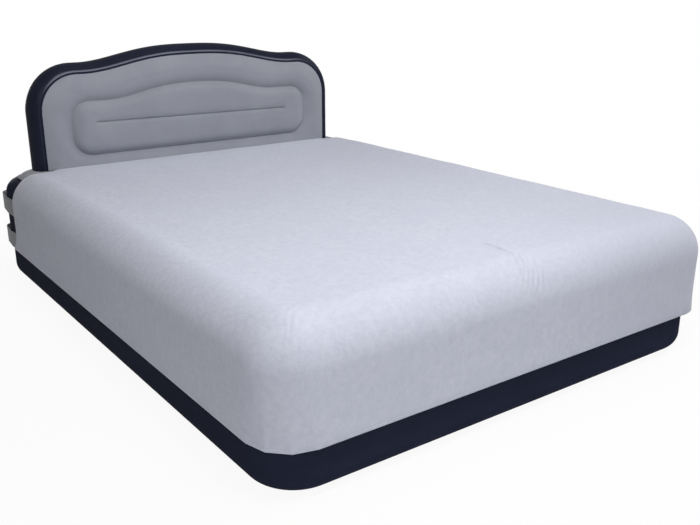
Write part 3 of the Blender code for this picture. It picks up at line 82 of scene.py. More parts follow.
# Heights where unevenness fades in and out: start and length
BASE_EASE = (0.02, 0.05)
WALL_END = (0.37, 0.02)

# The bare shoulder beyond the sheet: how it bulges, and how its seam is drawn in
BARE_FROM = 0.325
BARE_BULGE = 0.0075
SEAM_IN = 0.0038
SEAM_REACH = 0.010
SEAM_WAY = (0.5, 1.2)
SEAM_SHARE = 1.6
BARE_EASE = (0.01, 0.05)

# Headboard
FRONT_Y = 0.828
THICKNESS = 0.105
PANEL_HALF = 0.618
PANEL_SHOULDER = 0.753
PANEL_CROWN = 0.0535
PANEL_CORNER = 0.138
PANEL_FOOT = 0.006
PANEL_CROWN_X = 0.450
PAD_HALF = 0.512
PAD_BOTTOM = 0.448
PAD_SHOULDER = 0.650
PAD_CROWN = 0.046
PAD_CORNER = 0.068
PAD_FOOT = 0.072
PAD_CROWN_X = 0.362
WELD_Z = 0.567
WELD_HALF = 0.421
WELD_MIDDLE = -0.010
WELD_TILT = 0.0042
RIM_BULGE = 0.0365
RIM_SIDE_BULGE = 0.0035
RIM_POWER = 0.92
PIPING = 0.0022
PIPING_TUCK = 0.0012
PANEL_BOTTOM = 0.4108
CROWN_POWER = 1.38
INSET_ROUND = 0.7
FOOT_LINE = 0.417
FAR_DOWN = 0.2
LOW_STEPS, FOOT_STEPS, RISE_STEPS, ARC_STEPS, CROWN_STEPS = 36, 18, 24, 28, 56

# The headboard's faces: depth of border, pad and weld groove, and width of the groove
FRONT_RELIEF = (0.0165, 0.0250, 0.0042, 0.0036)
REAR_RELIEF = (0.0085, 0.0080, 0.0022, 0.0070)

# Reach and power of the rise from the rim, from the pad's outline and inside the pad
RIM_RISE = (0.055, 1.5)
EDGE_RISE = (0.047, 2.5)
PAD_RISE = (0.062, 4.6)

# How those change on the pad's low part (reach, power, depth) and at its sides (reach, power)
LOW_EASE = 0.05
LOW_CHANGE = (0.02, 1.2, 0.12)
ASIDE_X = (0.075, 0.05)
ASIDE_Z = (0.560, 0.075, 0.04)
ASIDE_CHANGE = (0.03, 1.6)

# Weld: the ring round it, its gap and ends, and the hollow beside it
WELD_RING = 0.026
RING_SHARE = 0.3
WELD_GAP = 0.0004
WELD_END = 0.02
GROOVE_EASE = (0.002, 0.016)
HOLLOW = 0.8
HOLLOW_BELOW = 0.0095
HOLLOW_ABOVE = 0.014
PUCKER_FROM = 0.014

# Rows of a face, as shares of the way to the pad and on to the weld
BORDER_ROWS = np.sort(np.concatenate([np.linspace(0, 1, 34), [0.01, 0.025, 0.975, 0.99]]))
PAD_ROWS = 1 - (1 - np.linspace(0, 1, 62)[1:]) ** 1.35

# Sheet and straps
SHEET_TOP = 0.412
SHEET_THICK = 0.0012
SHEET_PROUD = 0.008
SHEET_CORNER = 0.114
HEM = 0.127
FLARE_TOP = 0.215
HEM_HEAD = 0.841
HEM_EASE = 0.01
HEAD_BEND = 0.171
SIDE_HEAD = 0.786
TOP_HEAD = 0.800
NOTCH_Y = 0.8262
NOTCH_OUT = 0.618
NOTCH_IN = 0.588
NOTCH_FADE = 0.20
SHEET_SPINE = (0.1, -0.35)
SHEET_LIFT = 0.0009
SKIRT_EASE = (0.30, 0.15)
MERGE = 0.00002
STRAP_THICK = 0.0012
STRAP_WIDTH = 0.062

# How the hem stands out along the sides and at the corners, each with its power
HEM_OUT = (0.0005, 1.8)
FLARE = (0.014, 1.6)

# Gathers of the sheet's left corner, and kick of the right one with its peak's place and width
GATHER_DEG = 30
GATHER_FULL = 1.6
KICK_EVEN = 0.25
KICK_PEAK = 0.5
KICK_DEG = (54, 9)

# Grid of the sheet, finer where the foot is wrinkled
SKIRT_ROWS = 32
TURN_STEPS = 28
SIDE_POINTS = 83
GATHER_STEPS = 36
FOOT_STOPS = (-0.430, -0.085, 0.105)
FOOT_POINTS = (14, 66, 58, 31)
TOP_SHARES = 61

# The flocked top is lower under the sheet: ends and lengths of the ease, along and across
UNDER_SHEET = 0.0030
SHEET_EASE = (((TOP_HEAD - 0.02, 0.05), (HALF_X - 0.06, 0.03)), ((FRONT_Y + 0.03, 0.03), (NOTCH_OUT, 0.03)))

# Straps: heights at the seam, round the bend and beside the pump
STRAPS = (("head_strap_upper", "upper_strap", (0.290, 0.277, 0.312)),
          ("head_strap_lower", "lower_strap", (0.163, 0.145, 0.112)))
SEWN_GAP = 0.0006
SEWN_HALF = 0.025
WALL_GAP = 0.0008
BEND_IN = 0.026
BEND_RISE = 0.008
LEAVE_Y = 0.89
LEAVE_OUT = 0.0016
LEAVE_FADE = 2.5
LAY_FADE = 6
PUMP_SIDE = 0.130

# Round the bend: distances in from the side and the wall, and share of the rise
BEND = ((-0.003, 0.006, 0), (0, 0.0015, 0.3), (0.006, 0, 0.6), (0.025, 0, 1))
BEND_STEPS, WALL_STEPS, STRAP_ROWS = 14, 24, 13

# The air gives a little under the headboard's weight: depths, and start and length of each ease
SAG = 0.0062
SAG_OVER_BEAMS = 0.0028
SAG_Y = (0.62, 0.14)
SAG_Z = (0.30, 0.08)
FREE_Y = (0.79, 0.02)
FREE_X = (0.585, 0.02)
BEHIND_Y = (0.86, 0.03)
FOOT_STRETCH = 0.05

# Pump: its opening, and the flat wall round it
PUMP_Z = 0.213
PUMP_CUT_X = 0.0905
PUMP_CUT_Z = 0.0505
PUMP_FLAT_X = 0.100
PUMP_FLAT_Z = 0.060
PUMP_FADE = 0.06
HEAD_WALL = 0.9
SPRING_WIRE = 0.0005
SPRING_TURNS = 6
SPRING_STEPS = 24

# Unevenness of the skins: features in a metre along each axis, seed and depth
BASE_WAVES = ((5, 5, 3), 3.1, 0.0008)
WALL_WAVES = ((6, 6, 2.5), 8.3)
WALL_MEAN = 0.35
WALL_DEPTH = 0.0010
PAD_WAVES = ((34, 1, 34), 5.5, 0.0004)
RIM_WAVES = ((30, 8, 30), 2.2, 0.0010)
SHEET_WAVES = ((6, 6, 6), 1.7, 0.0010)
PUCKER_WAVES = ((26, 9, 14), 4.2, 0.0006)
SKIRT_WAVES = ((7, 4.5, 2.0), 9.4, 0.0016)

# Drag wrinkles in the sheet's mesh: middle, ways across and along, spacing, half width and length, depth
WRINKLES = (
    ((0.008, -0.984, 0.381), (0.86, -0.40, -0.30), (-0.50, -0.69, -0.52), 0.0155, 0.056, 0.080, 0.00300),
    ((-0.677, -0.970, 0.385), (0.81, -0.59, 0), (-0.4, -0.6, -0.7), 0.015, 0.030, 0.085, 0.00080),
    ((0.014, -0.868, 0.412), (1, -0.07, 0), (-0.07, -1, 0), 0.020, 0.022, 0.085, 0.00230),
)

# A faint crease in its nap: the same, with a strength for the depth
CREASE = ((0.400, -0.720, 0.412), (1, 0.08, 0), (0.08, -1, 0), 0.022, 0.015, 0.190, 0.9)

# Shares of a patch's extents from which it fades, and how its lines waver
CORE_WIDE = 0.3
CORE_LONG = 0.2
CORE_ROUND = 0.25
WAVER_WAVES = (22, 6.1)
WAVER_MESH = 1.8
WAVER_NAP = 3.6

# Where the cloth is crinkled at the foot: middle and reach
CRINKLE = ((-0.270, -1.020, 0.300), 0.16)
CRINKLE_SCALE = (95, 60, 60)
CRINKLE_TURN = 0.6
CRINKLE_WAVES = (1, 3.7, 0.0022)

# Stitching above the hem
STITCH_RISE = 0.011
STITCH_WIDTH = 0.0009
STITCH_LENGTH = 0.0032

# Painted highlight, a paler band along the rim's front lip: its ends across the lip, in height and to the
# right
LIP_HIGHLIGHT_START = (0.0025, 0.0052)
LIP_HIGHLIGHT_END = (0.0072, 0.0122)
LIP_HIGHLIGHT_HEIGHT = (0.68, 0.75)
LIP_HIGHLIGHT_RIGHT = (0.42, 0.56)

# Painted shade, a darker sheet colour round the foot's right corner: middle and reach
PAINTED_SHADE_CORNER = ((0.690, -1.000, 0.300), 0.72)

# Finish of the CAD nodes: the rest are of clear vinyl
NODE_LOOKS = {
    "navy": "base_panel middle_panel headboard_floor pump_tub",
    "grey": "pump_face_plate cord_box diverter_cup blower_cover blower_housing impeller rocker_switch "
            "valve_disc valve_guide",
    "black": "cord_lid air_grille control_knob air_diverter switch_body",
    "rubber": "plate_gasket cord_gland motor_pad valve_seat",
    "steel": "plate_screw_1 plate_screw_2 plate_screw_3 plate_screw_4 lid_hinge_pin knob_spindle "
             "motor_shaft motor_case valve_clip valve_spring",
    "brass": "motor_bearing",
}

# Rounding of the moulded edges that are sharper than an angle
SOFT_EDGES = {"pump_face_plate": 0.0006, "cord_lid": 0.0006, "control_knob": 0.0007, "rocker_switch": 0.0005,
              "switch_body": 0.0003, "air_grille": 0.0004, "plate_gasket": 0.0003}
SHARP_DEG = 35

# Stage and lamps: name, place, width and height, power
FLOOR_HALF = 40
FLOOR_DROP = 0.0006
FLOOR_COLOUR = (0.86, 0.86, 0.87, 1)
SHADOW_ENDS = (1.2, 2.4)
SHADOW_WHITE = 0.93
FILL_COLOUR = (0.95, 0.97, 1.0, 1)
FILL_STRENGTH = 0.01
LAMP_TARGET = (0.0, -0.1, 0.25)
LAMPS = (
    ("key_lamp", (-0.5, -1.6, 2.6), (0.6, 0.6), 31),
    ("strip_lamp", (0.1, -1.6, 2.6), (3.2, 0.12), 17),
    ("right_lamp", (4.0, -2.0, 2.8), (2.5, 2.5), 47),
    ("far_lamp", (4.4, 0.4, 2.8), (3.0, 2.5), 60),
    ("left_lamp", (-3.0, -3.6, 2.4), (3.0, 2.5), 54),
    ("back_lamp", (0.0, 4.0, 0.70), (2.0, 0.6), 52),
    ("top_lamp", (0.0, 0.0, 4.0), (3.0, 3.0), 18),
)

# Camera, its focal length in the photograph's pixels
CAMERA_PLACE = (-1.5219, -2.326, 1.0508)
CAMERA_DOWN_DEG = 18.0319
CAMERA_TURN_DEG = -36.0287
FOCAL_PIXELS = 840.95
PHOTO_WIDTH = 700
SENSOR = 36

# Least length to divide by, and the lean below which a tube counts as upright
TINY = 1e-12
UPRIGHT = 0.2


# Helpers, curves and grids
def tune(thing, **settings):
    """Set several properties of a thing, and give it back."""
    for name, value in settings.items():
        setattr(thing, name, value)
    return thing


def put(name, data, **settings):
    """Link a new object into the scene."""
    thing = tune(bpy.data.objects.new(name, data), **settings)
    bpy.context.collection.objects.link(thing)
    return thing


def join(*parts):
    """Points from their coordinates, each an array or a single number."""
    return np.stack(np.broadcast_arrays(*parts), axis=-1)


def unit(vectors):
    """Vectors at a length of 1."""
    return vectors / np.maximum(np.linalg.norm(vectors, axis=-1, keepdims=True), TINY)


def monotone(knots, values, at):
    """Monotone cubic through values at rising knots, read at other places."""
    step = np.diff(knots)
    slope = np.diff(values) / step
    before, after = slope[:-1], slope[1:]
    inner = np.where(before * after > 0, 2 * (before * after) / (before + after), 0)
    bend = np.concatenate([slope[:1], inner, slope[-1:]])
    i = np.clip(np.searchsorted(knots, at, side="right") - 1, 0, len(knots) - 2)
    h = step[i]
    t = (at - np.take(knots, i)) / h
    low = (1 + 2 * t) * (1 - t) ** 2 * np.take(values, i) + t * (1 - t) ** 2 * h * bend[i]
    return low + (t * t * (3 - 2 * t) * np.take(values, i + 1) + t * t * (t - 1) * h * bend[i + 1])


def arc_line(center, radius, start_deg, end_deg, steps):
    """Points of an arc in a plane, both ends included."""
    angle = np.radians(np.linspace(start_deg, end_deg, steps + 1))
    return join(center[0] + radius * np.cos(angle), center[1] + radius * np.sin(angle))


def smooth(value):
    """Ease from 0 to 1 with level ends."""
    value = np.clip(value, 0, 1)
    return value * value * (3 - 2 * value)


def ease_in(value, start, length):
    """0 up to a start and 1 from a length beyond it."""
    return smooth((value - start) / length)


def ease_out(value, end, length):
    """1 up to a length before an end and 0 beyond the end."""
    return smooth((end - value) / length)


def settle(points):
    """Lower the mattress and what lies on it towards the headboard's foot."""
    x, y, z = np.abs(points[..., 0]), points[..., 1], points[..., 2]
    beside = ease_in(y, *FREE_Y) * np.maximum(ease_in(x, *FREE_X), ease_in(y, *BEHIND_Y))
    down = SAG_OVER_BEAMS * ease_in(y, *SAG_Y)
    down += (SAG - SAG_OVER_BEAMS) * beside
    points[..., 2] -= down * ease_in(z, *SAG_Z)
    return points


def bare(y):
    """1 on the bare head end, 0 where the sheet covers the mattress."""
    return ease_in(y - SIDE_HEAD, *BARE_EASE)


def blow_out(grid):
    """Push the bare shoulder out between its welds at the head end, and draw its seam in."""
    high = grid[..., 2]
    seam_z = SHOULDER_FOOT + SHOULDER * math.sin(math.radians(SEAM_DEG))
    share = np.clip((high - BARE_FROM) / (seam_z - BARE_FROM), 0, 1)
    out = BARE_BULGE * 4 * share * (1 - share) - SEAM_IN * np.exp(-((high - seam_z) / SEAM_REACH) ** 2)
    return grid + grid_normals(grid, True) * (out * bare(grid[..., 1]))[..., None]


def plant(points):
    """Stretch the headboard's foot down to the settled mattress."""
    points[..., 2] -= SAG * (1 - ease_in(points[..., 2], SHEET_TOP, FOOT_STRETCH))
    return points


def waves(points, scale, seed, depth=1.0):
    """Smooth noise at points, with features of about 1 / scale metres along each axis."""
    found = np.array([noise.noise(Vector(p)) for p in (points.reshape(-1, 3) * scale + seed).tolist()])
    return found.reshape(points.shape[:-1]) * depth


def level(row, height):
    """Points of a flat row, at a height."""
    return join(*row.T, height)


def upright(line, y):
    """Points of a line of width and height, at one depth."""
    return join(line[:, 0], y, line[:, 1])


def ways(grid, axis, closed=False):
    """Ways along a grid's axis, over its ends too where it is closed."""
    if closed:
        return np.roll(grid, -1, axis) - np.roll(grid, 1, axis)
    return np.gradient(grid, axis=axis)


def grid_normals(grid, around=False):
    """Unit normals of a grid of points."""
    return unit(np.cross(ways(grid, 1, around), ways(grid, 0)))


def line_normals(line):
    """Unit normals to the right of a flat line."""
    along = unit(ways(line, 0))
    return join(along[:, 1], -along[:, 0])


def grid_mesh(name, grid, around=True, along=False, skip=None, caps=False):
    """Smooth mesh over a grid of points, with a map in metres."""
    rows, columns = grid.shape[:2]
    closed = ((0, along), (0, around))
    index = np.pad(np.arange(rows * columns).reshape(rows, columns), closed, "wrap")
    full = np.pad(grid, (*closed, (0, 0)), "wrap")
    across = np.linalg.norm(np.diff(full, axis=1), axis=-1)
    down = np.linalg.norm(np.diff(full, axis=0), axis=-1)
    u = np.pad(np.cumsum(across, axis=1), ((0, 0), (1, 0)))
    v = np.pad(np.cumsum(down, axis=0), ((1, 0), (0, 0)))
    quads, u, v = (join(part[:-1, :-1], part[:-1, 1:], part[1:, 1:], part[1:, :-1]).reshape(-1, 4)
                   for part in (index, u, v))
    uvs = join(u, v)
    if skip is not None:
        keep = ~skip((full[:-1, :-1] + full[1:, 1:]) / 2).reshape(-1)
        quads, uvs = quads[keep], uvs[keep]
    faces, uvs = quads.tolist(), uvs.reshape(-1, 2)
    if caps:
        faces += [index[0, :columns][::-1].tolist(), index[-1, :columns].tolist()]
        uvs = np.concatenate([uvs, np.zeros((2 * columns, 2))])
    mesh = bpy.data.meshes.new(name)
    mesh.from_pydata(grid.reshape(-1, 3).tolist(), [], faces)
    mesh.uv_layers.new(name="metres").data.foreach_set("uv", uvs.reshape(-1))
    mesh.shade_smooth()
    mesh.update()
    return mesh


def tube_grid(points, radius, sides, closed=False):
    """Rings of a round tube along a line of points."""
    along = unit(ways(points, 0, closed))
    side = np.cross(along, [0.0, 0.0, 1.0])
    weak = np.linalg.norm(side, axis=1) < UPRIGHT
    side[weak] = np.cross(along[weak], [0.0, 1.0, 0.0])
    side = unit(side)
    up = np.cross(side, along)
    angle = np.linspace(0, 2 * np.pi, sides, endpoint=False)
    ring = np.cos(angle)[None, :, None] * side[:, None] + np.sin(angle)[None, :, None] * up[:, None]
    return points[:, None] + ring * radius


def add_skin(name, grid, material, node, slot, **how):
    """Put a grid's mesh on the bed, in place of a CAD node."""
    mesh = grid_mesh(name, grid, **how)
    mesh.materials.append(material)
    piece = put(name, mesh)
    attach(piece, "bed")
    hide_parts(node)
    return piece


# Materials
class Tree:
    """The nodes of a material or the world."""

    def __init__(self, owner):
        owner.use_nodes = True
        self.nodes = owner.node_tree.nodes
        self.links = owner.node_tree.links

    def feed(self, node, socket, value):
        """Link or set one input of a node."""
        if isinstance(value, bpy.types.NodeSocket):
            self.links.new(value, node.inputs[socket])
        else:
            node.inputs[socket].default_value = value

    def make(self, kind, output, inputs=(), **settings):
        """One output of a new node with these settings and inputs."""
        node = tune(self.nodes.new("ShaderNode" + kind), **settings)
        for socket, value in dict(inputs).items():
            self.feed(node, socket, value)
        return node.outputs[output]

    def math(self, kind, first, second=0.0):
        """One sum on a value, or on two."""
        return self.make("Math", 0, {0: first, 1: second}, operation=kind)

    def times(self, first, second):
        """Product of two values."""
        return self.math("MULTIPLY", first, second)

    def length(self, vector):
        """Length of a vector."""
        return self.make("VectorMath", "Value", {0: vector}, operation="LENGTH")

    def from_place(self, center):
        """Vector from a place."""
        return self.make("VectorMath", 0, {0: self.here, 1: center}, operation="SUBTRACT")

    def remap(self, value, low, high, out_low=0.0, out_high=1.0, soft=False):
        """Read a value's range as another range."""
        return self.make("MapRange", 0, {0: value, 1: low, 2: high, 3: out_low, 4: out_high},
                         interpolation_type="SMOOTHSTEP" if soft else "LINEAR")

    def seen(self):
        """1 for camera, glossy and transmission rays, 0 for the rest."""
        rays = self.nodes.new("ShaderNodeLightPath").outputs
        first = self.math("MAXIMUM", rays["Is Camera Ray"], rays["Is Glossy Ray"])
        return self.math("MAXIMUM", first, rays["Is Transmission Ray"])


class Look(Tree):
    """A material of one shader, with the patterns that the looks are made of."""

    def __init__(self, name, rough, specular, **plain):
        self.material = bpy.data.materials.new(name)
        super().__init__(self.material)
        self.shader = self.nodes["Principled BSDF"]
        plain.update(Roughness=rough, Specular_IOR_Level=specular)
        for socket, value in plain.items():
            self.feed(self.shader, socket.replace("_", " "), value)
        self.here = self.make("TexCoord", "Object")

    def finish(self, colour, rough, *layers):
        """The material, with its colour, roughness and relief: height, strength, distance of each layer."""
        below = {}
        for height, strength, distance in layers:
            inputs = {"Height": height, "Strength": strength, "Distance": distance, **below}
            below = {"Normal": self.make("Bump", "Normal", inputs)}
        for socket, value in {"Base Color": colour, "Roughness": rough, **below}.items():
            self.feed(self.shader, socket, value)
        return self.material

    def map_uv(self):
        """Map in metres."""
        return self.make("UVMap", "UV", uv_map="metres")

    def scaled(self, vector, scale, turn=(0, 0, 0)):
        """Coordinates scaled along each axis."""
        return self.make("Mapping", "Vector", {"Scale": scale, "Rotation": turn, "Vector": vector})

    def noise(self, scale, detail=2.0, rough=0.5, vector=None, distort=0.0):
        """Noise from 0 to 1, about 0.5."""
        return self.make("TexNoise", "Fac", {"Scale": scale, "Detail": detail, "Roughness": rough,
                                             "Distortion": distort, "Vector": vector or self.here})

    def cells(self, scale):
        """Distance to cell points."""
        return self.make("TexVoronoi", "Distance", {"Scale": scale, "Vector": self.here})

    def wave(self, axis, vector):
        """Even bands along an axis, from 0 to 1."""
        return self.make("TexWave", "Fac", {"Scale": 1, "Vector": vector}, bands_direction=axis)

    def blend(self, share, first, second):
        """Mix two colours by a share."""
        first, second = (colour if isinstance(colour, bpy.types.NodeSocket) else (*colour, 1)
                         for colour in (first, second))
        return self.make("Mix", 2, {0: share, 6: first, 7: second}, data_type="RGBA")

    def tint(self, base, value, low, high, most, colour):
        """Blend a colour over the base where a value rises, up to a greatest share."""
        return self.blend(self.remap(value, low, high, 0, most), base, colour)

    def near(self, center, reach):
        """1 at a place, fading to 0 at a reach from it."""
        return self.remap(self.length(self.from_place(center)), CORE_ROUND * reach, reach, 1, 0, True)

    def crease(self, center, across, run, spacing, half_width, half_length, strength):
        """A small patch of even creases that run one way and fade out on all sides."""
        apart = self.from_place(center)
        side, length = (self.make("VectorMath", "Value", {0: apart, 1: Vector(way).normalized()},
                                  operation="DOT_PRODUCT") for way in (across, run))
        warp = self.times(self.noise(WAVER_WAVES[0]), WAVER_NAP)
        phase = self.math("ADD", self.times(side, 2 * math.pi / spacing), warp)
        side, length = (self.math("ABSOLUTE", way) for way in (side, length))
        near = self.remap(side, CORE_WIDE * half_width, half_width, 1, 0, True)
        inside = self.remap(length, CORE_LONG * half_length, half_length, strength, 0, True)
        return self.times(self.math("SINE", phase), self.times(near, inside))

    def split(self, vector):
        """The three parts of a vector."""
        return self.make("SeparateXYZ", 0, {0: vector}).node.outputs


def sheet_look():
    """Brushed microfibre: pale blue-grey, mottled nap, a stitched hem, one faint crease."""
    look = Look("sheet_cloth", 0.85, 0.25, Sheen_Weight=0.12, Sheen_Roughness=0.45)
    uv = look.map_uv()
    mottle = look.noise(62, 4, 0.66)
    cloud = look.noise(7, 3, 0.6)
    streak = look.noise(1, 3, 0.6, look.scaled(uv, (48, 9, 1)))
    nap = look.noise(1, 3, 0.7, look.scaled(uv, (420, 150, 1)))
    base = look.blend(look.remap(mottle, 0.3, 0.7), (0.535, 0.553, 0.656), (0.627, 0.643, 0.742))
    base = look.tint(base, cloud, 0.35, 0.65, 0.4, (0.548, 0.566, 0.676))
    base = look.tint(base, streak, 0.50, 0.75, 0.28, (0.655, 0.670, 0.758))
    base = look.tint(base, nap, 0.3, 0.75, 0.12, (0.80, 0.81, 0.87))
    # Painted shade: the sheet's colour darkened round the foot's right corner
    base = look.blend(look.times(look.near(*PAINTED_SHADE_CORNER), 0.5), base, (0.500, 0.517, 0.610))
    run, up, _ = look.split(uv)
    from_line = look.math("ABSOLUTE", look.math("SUBTRACT", up, STITCH_RISE))
    line = look.remap(from_line, STITCH_WIDTH / 3, STITCH_WIDTH, 1, 0, True)
    dash = look.math("SINE", look.times(run, 2 * math.pi / STITCH_LENGTH))
    stitch = look.times(line, look.remap(dash, -0.5, 0.1, 0, 1, True))
    folds = look.math("ADD", look.times(line, -0.5), look.crease(*CREASE))
    crisp = look.noise(1, 3, 0.6, look.scaled(look.here, CRINKLE_SCALE, (0, CRINKLE_TURN, 0)))
    crisp = look.times(look.times(crisp, look.near(*CRINKLE)), 1.2)
    return look.finish(look.blend(look.times(stitch, 0.5), base, (0.33, 0.35, 0.44)),
                       look.remap(nap, 0.3, 0.7, 0.78, 0.95),
                       (look.math("ADD", look.times(folds, 0.55), crisp), 0.5, 0.0022),
                       (mottle, 0.40, 0.005), (streak, 0.15, 0.004), (look.noise(900, 2, 0.6), 0.20, 0.0006),
                       (nap, 0.15, 0.0006))


def flock_look():
    """Short flock on vinyl: mid grey, speckled, brushed in patches."""
    look = Look("grey_flocking", 0.9, 0.2, Sheen_Weight=0.18, Sheen_Roughness=0.5)
    brushed = look.noise(7, 3, 0.55, distort=0.6)
    base = look.blend(look.remap(brushed, 0.35, 0.68), (0.272, 0.284, 0.326), (0.306, 0.318, 0.360))
    return look.finish(look.tint(base, look.noise(420, 3, 0.7), 0.35, 0.75, 0.30, (0.37, 0.385, 0.425)),
                       look.remap(brushed, 0.3, 0.7, 0.82, 0.98),
                       (look.noise(60, 3, 0.6), 0.10, 0.002), (look.noise(1500, 2, 0.7), 0.35, 0.0008))


def vinyl_look():
    """Calendered navy vinyl: soft gloss, fine leather-like grain, faint scuffs."""
    look = Look("navy_skin", 0.5, 0.0, Coat_Weight=0.022, Coat_Roughness=0.24)
    dust = look.noise(70, 4, 0.7)
    cloud = look.remap(look.noise(6, 3, 0.55), 0.3, 0.7)
    base = look.blend(cloud, (0.0188, 0.0222, 0.0425), (0.0232, 0.0270, 0.0510))
    return look.finish(look.tint(base, dust, 0.52, 0.8, 0.20, (0.036, 0.040, 0.064)),
                       look.remap(dust, 0.3, 0.75, 0.34, 0.52),
                       (look.noise(28, 2, 0.5), 0.10, 0.003), (look.cells(520), 0.22, 0.0006))


def rim_look():
    """The same vinyl drawn tight over the rim, with a painted highlight: a paler band along its front lip."""
    look = Look("navy_rim", 0.45, 0.0, Coat_Weight=0.10, Coat_Roughness=0.22)
    dust = look.noise(70, 4, 0.7)
    cloud = look.noise(9, 3, 0.55)
    across = look.split(look.map_uv())[0]
    x, _, z = look.split(look.here)
    # Painted highlight: a paler band across the front lip, fading down the left side and towards the right
    painted_highlight = look.remap(across, *LIP_HIGHLIGHT_START, 0, 1, True)
    for value, ends, far in (across, LIP_HIGHLIGHT_END, (1, 0)), (z, LIP_HIGHLIGHT_HEIGHT, (0.06, 1)), (x, LIP_HIGHLIGHT_RIGHT, (1, 0.10)):
        painted_highlight = look.times(painted_highlight, look.remap(value, *ends, *far, True))
    painted_highlight = look.times(painted_highlight, look.remap(cloud, 0.2, 0.7, 0.6, 1))
    base = look.blend(look.remap(cloud, 0.3, 0.7), (0.0108, 0.0126, 0.0265), (0.0142, 0.0164, 0.0335))
    base = look.tint(base, dust, 0.52, 0.8, 0.2, (0.022, 0.024, 0.040))
    # The painted highlight's pale colour is blended over the vinyl here
    return look.finish(look.blend(painted_highlight, base, (0.190, 0.197, 0.245)), look.remap(dust, 0.3, 0.75, 0.34, 0.5),
                       (look.cells(520), 0.14, 0.0005))


def elastic_look():
    """Woven elastic: lengthwise ribs crossed by fine picks, a little fuzzy."""
    look = Look("woven_elastic", 0.85, 0.25, Sheen_Weight=0.1)
    uv = look.map_uv()
    ribs = look.wave("Y", look.scaled(uv, (1, 220, 1)))
    picks = look.wave("X", look.scaled(uv, (330, 1, 1)))
    fuzz = look.noise(600, 3, 0.7)
    weave = look.times(ribs, look.remap(picks, 0, 1, 0.55, 1))
    base = look.blend(weave, (0.225, 0.236, 0.250), (0.335, 0.349, 0.364))
    return look.finish(look.tint(base, fuzz, 0.4, 0.8, 0.3, (0.41, 0.415, 0.425)),
                       look.remap(fuzz, 0.3, 0.7, 0.78, 0.95), (weave, 0.5, 0.0008))


def clear_look():
    """Milky vinyl of the inner beams and webs."""
    look = Look("milky_vinyl", 0.4, 0.4)
    cloud = look.noise(18, 3, 0.6)
    return look.finish(look.blend(cloud, (0.48, 0.52, 0.54), (0.60, 0.63, 0.65)),
                       look.remap(cloud, 0.3, 0.7, 0.34, 0.5), (look.cells(420), 0.15, 0.0005))


def plastic_look(name, dark, pale, rough):
    """Moulded plastic with a spark-eroded grain and paler, rubbed high spots."""
    look = Look(name, rough, 0.4)
    scuff = look.noise(1, 4, 0.7, look.scaled(look.here, (160, 160, 900)))
    base = look.blend(look.remap(look.noise(40, 3, 0.6), 0.3, 0.7), dark, pale)
    rubbed = tuple(min(1, 2.2 * part + 0.02) for part in pale)
    return look.finish(look.tint(base, scuff, 0.58, 0.8, 0.3, rubbed),
                       look.remap(scuff, 0.3, 0.75, rough - 0.06, rough + 0.12),
                       (look.noise(2600, 2, 0.6), 0.25, 0.0003))


def metal_look(name, dark, pale, rough):
    """Turned metal with fine circular marks and a little tarnish."""
    look = Look(name, rough, 0.5, Metallic=1.0)
    lines = look.noise(1, 3, 0.7, look.scaled(look.here, (3000, 400, 3000)))
    return look.finish(look.blend(look.remap(look.noise(60, 3, 0.6), 0.35, 0.7), pale, dark),
                       look.remap(lines, 0.3, 0.7, rough - 0.08, rough + 0.12),
                       (lines, 0.2, 0.0002))


def rubber_look():
    """Black rubber with a dry bloom."""
    look = Look("black_rubber", 0.8, 0.3)
    bloom = look.noise(90, 4, 0.7)
    return look.finish(look.blend(look.remap(bloom, 0.4, 0.75), (0.011,) * 3, (0.03, 0.03, 0.029)),
                       look.remap(bloom, 0.3, 0.7, 0.7, 0.88),
                       (look.noise(1400, 2, 0.6), 0.2, 0.0003))


# Mattress
def bed_row(outward, head_x=None):
    """Closed line round the mattress, moved outward from its side, anticlockwise from the right."""
    hx, hy, radius = HALF_X + outward, HALF_Y + outward, CORNER + outward
    reach_x, reach_y = hx - radius, hy - radius
    line = []
    for quarter, (sx, sy) in enumerate(((1, 1), (-1, 1), (-1, -1), (1, -1))):
        start = 90 * quarter
        line.append(arc_line((sx * reach_x, sy * reach_y), radius, start, start + 90, CORNER_STEPS))
        if quarter % 2:
            line.append(join(sx * hx, np.linspace(sy * reach_y, -sy * reach_y, SIDE_STEPS + 1)[1:-1]))
        elif quarter == 0 and head_x is not None:
            line.append(join(head_x[::-1], hy))
        else:
            line.append(join(np.linspace(sy * reach_x, -sy * reach_x, END_STEPS + 1)[1:-1], sy * hy))
    return np.concatenate(line)


def bed_grid(section, head_x=None):
    """Rows round the mattress at each outward and height of a section."""
    return np.array([level(bed_row(outward, head_x), height) for outward, height in section])


def shoulder_line(start_deg, end_deg, steps):
    """Part of the mattress shoulder's section."""
    return arc_line((-SHOULDER, SHOULDER_FOOT), SHOULDER, start_deg, end_deg, steps)


def at_pump(points):
    """Whether points lie in the head wall's opening for the pump."""
    x, y, z = np.moveaxis(points, -1, 0)
    return (np.abs(x) < PUMP_CUT_X) & (np.abs(z - PUMP_Z) < PUMP_CUT_Z) & (y > HEAD_WALL)


def near_pump(grid):
    """How near points of the head wall are to the pump: 1 beside it, 0 away from it."""
    x, y, z = np.moveaxis(grid, -1, 0)
    apart = np.maximum(np.abs(x) - PUMP_FLAT_X, 0) + np.maximum(np.abs(z - PUMP_Z) - PUMP_FLAT_Z, 0)
    return np.where(y > HEAD_WALL, 1 - smooth(apart / PUMP_FADE), 0)


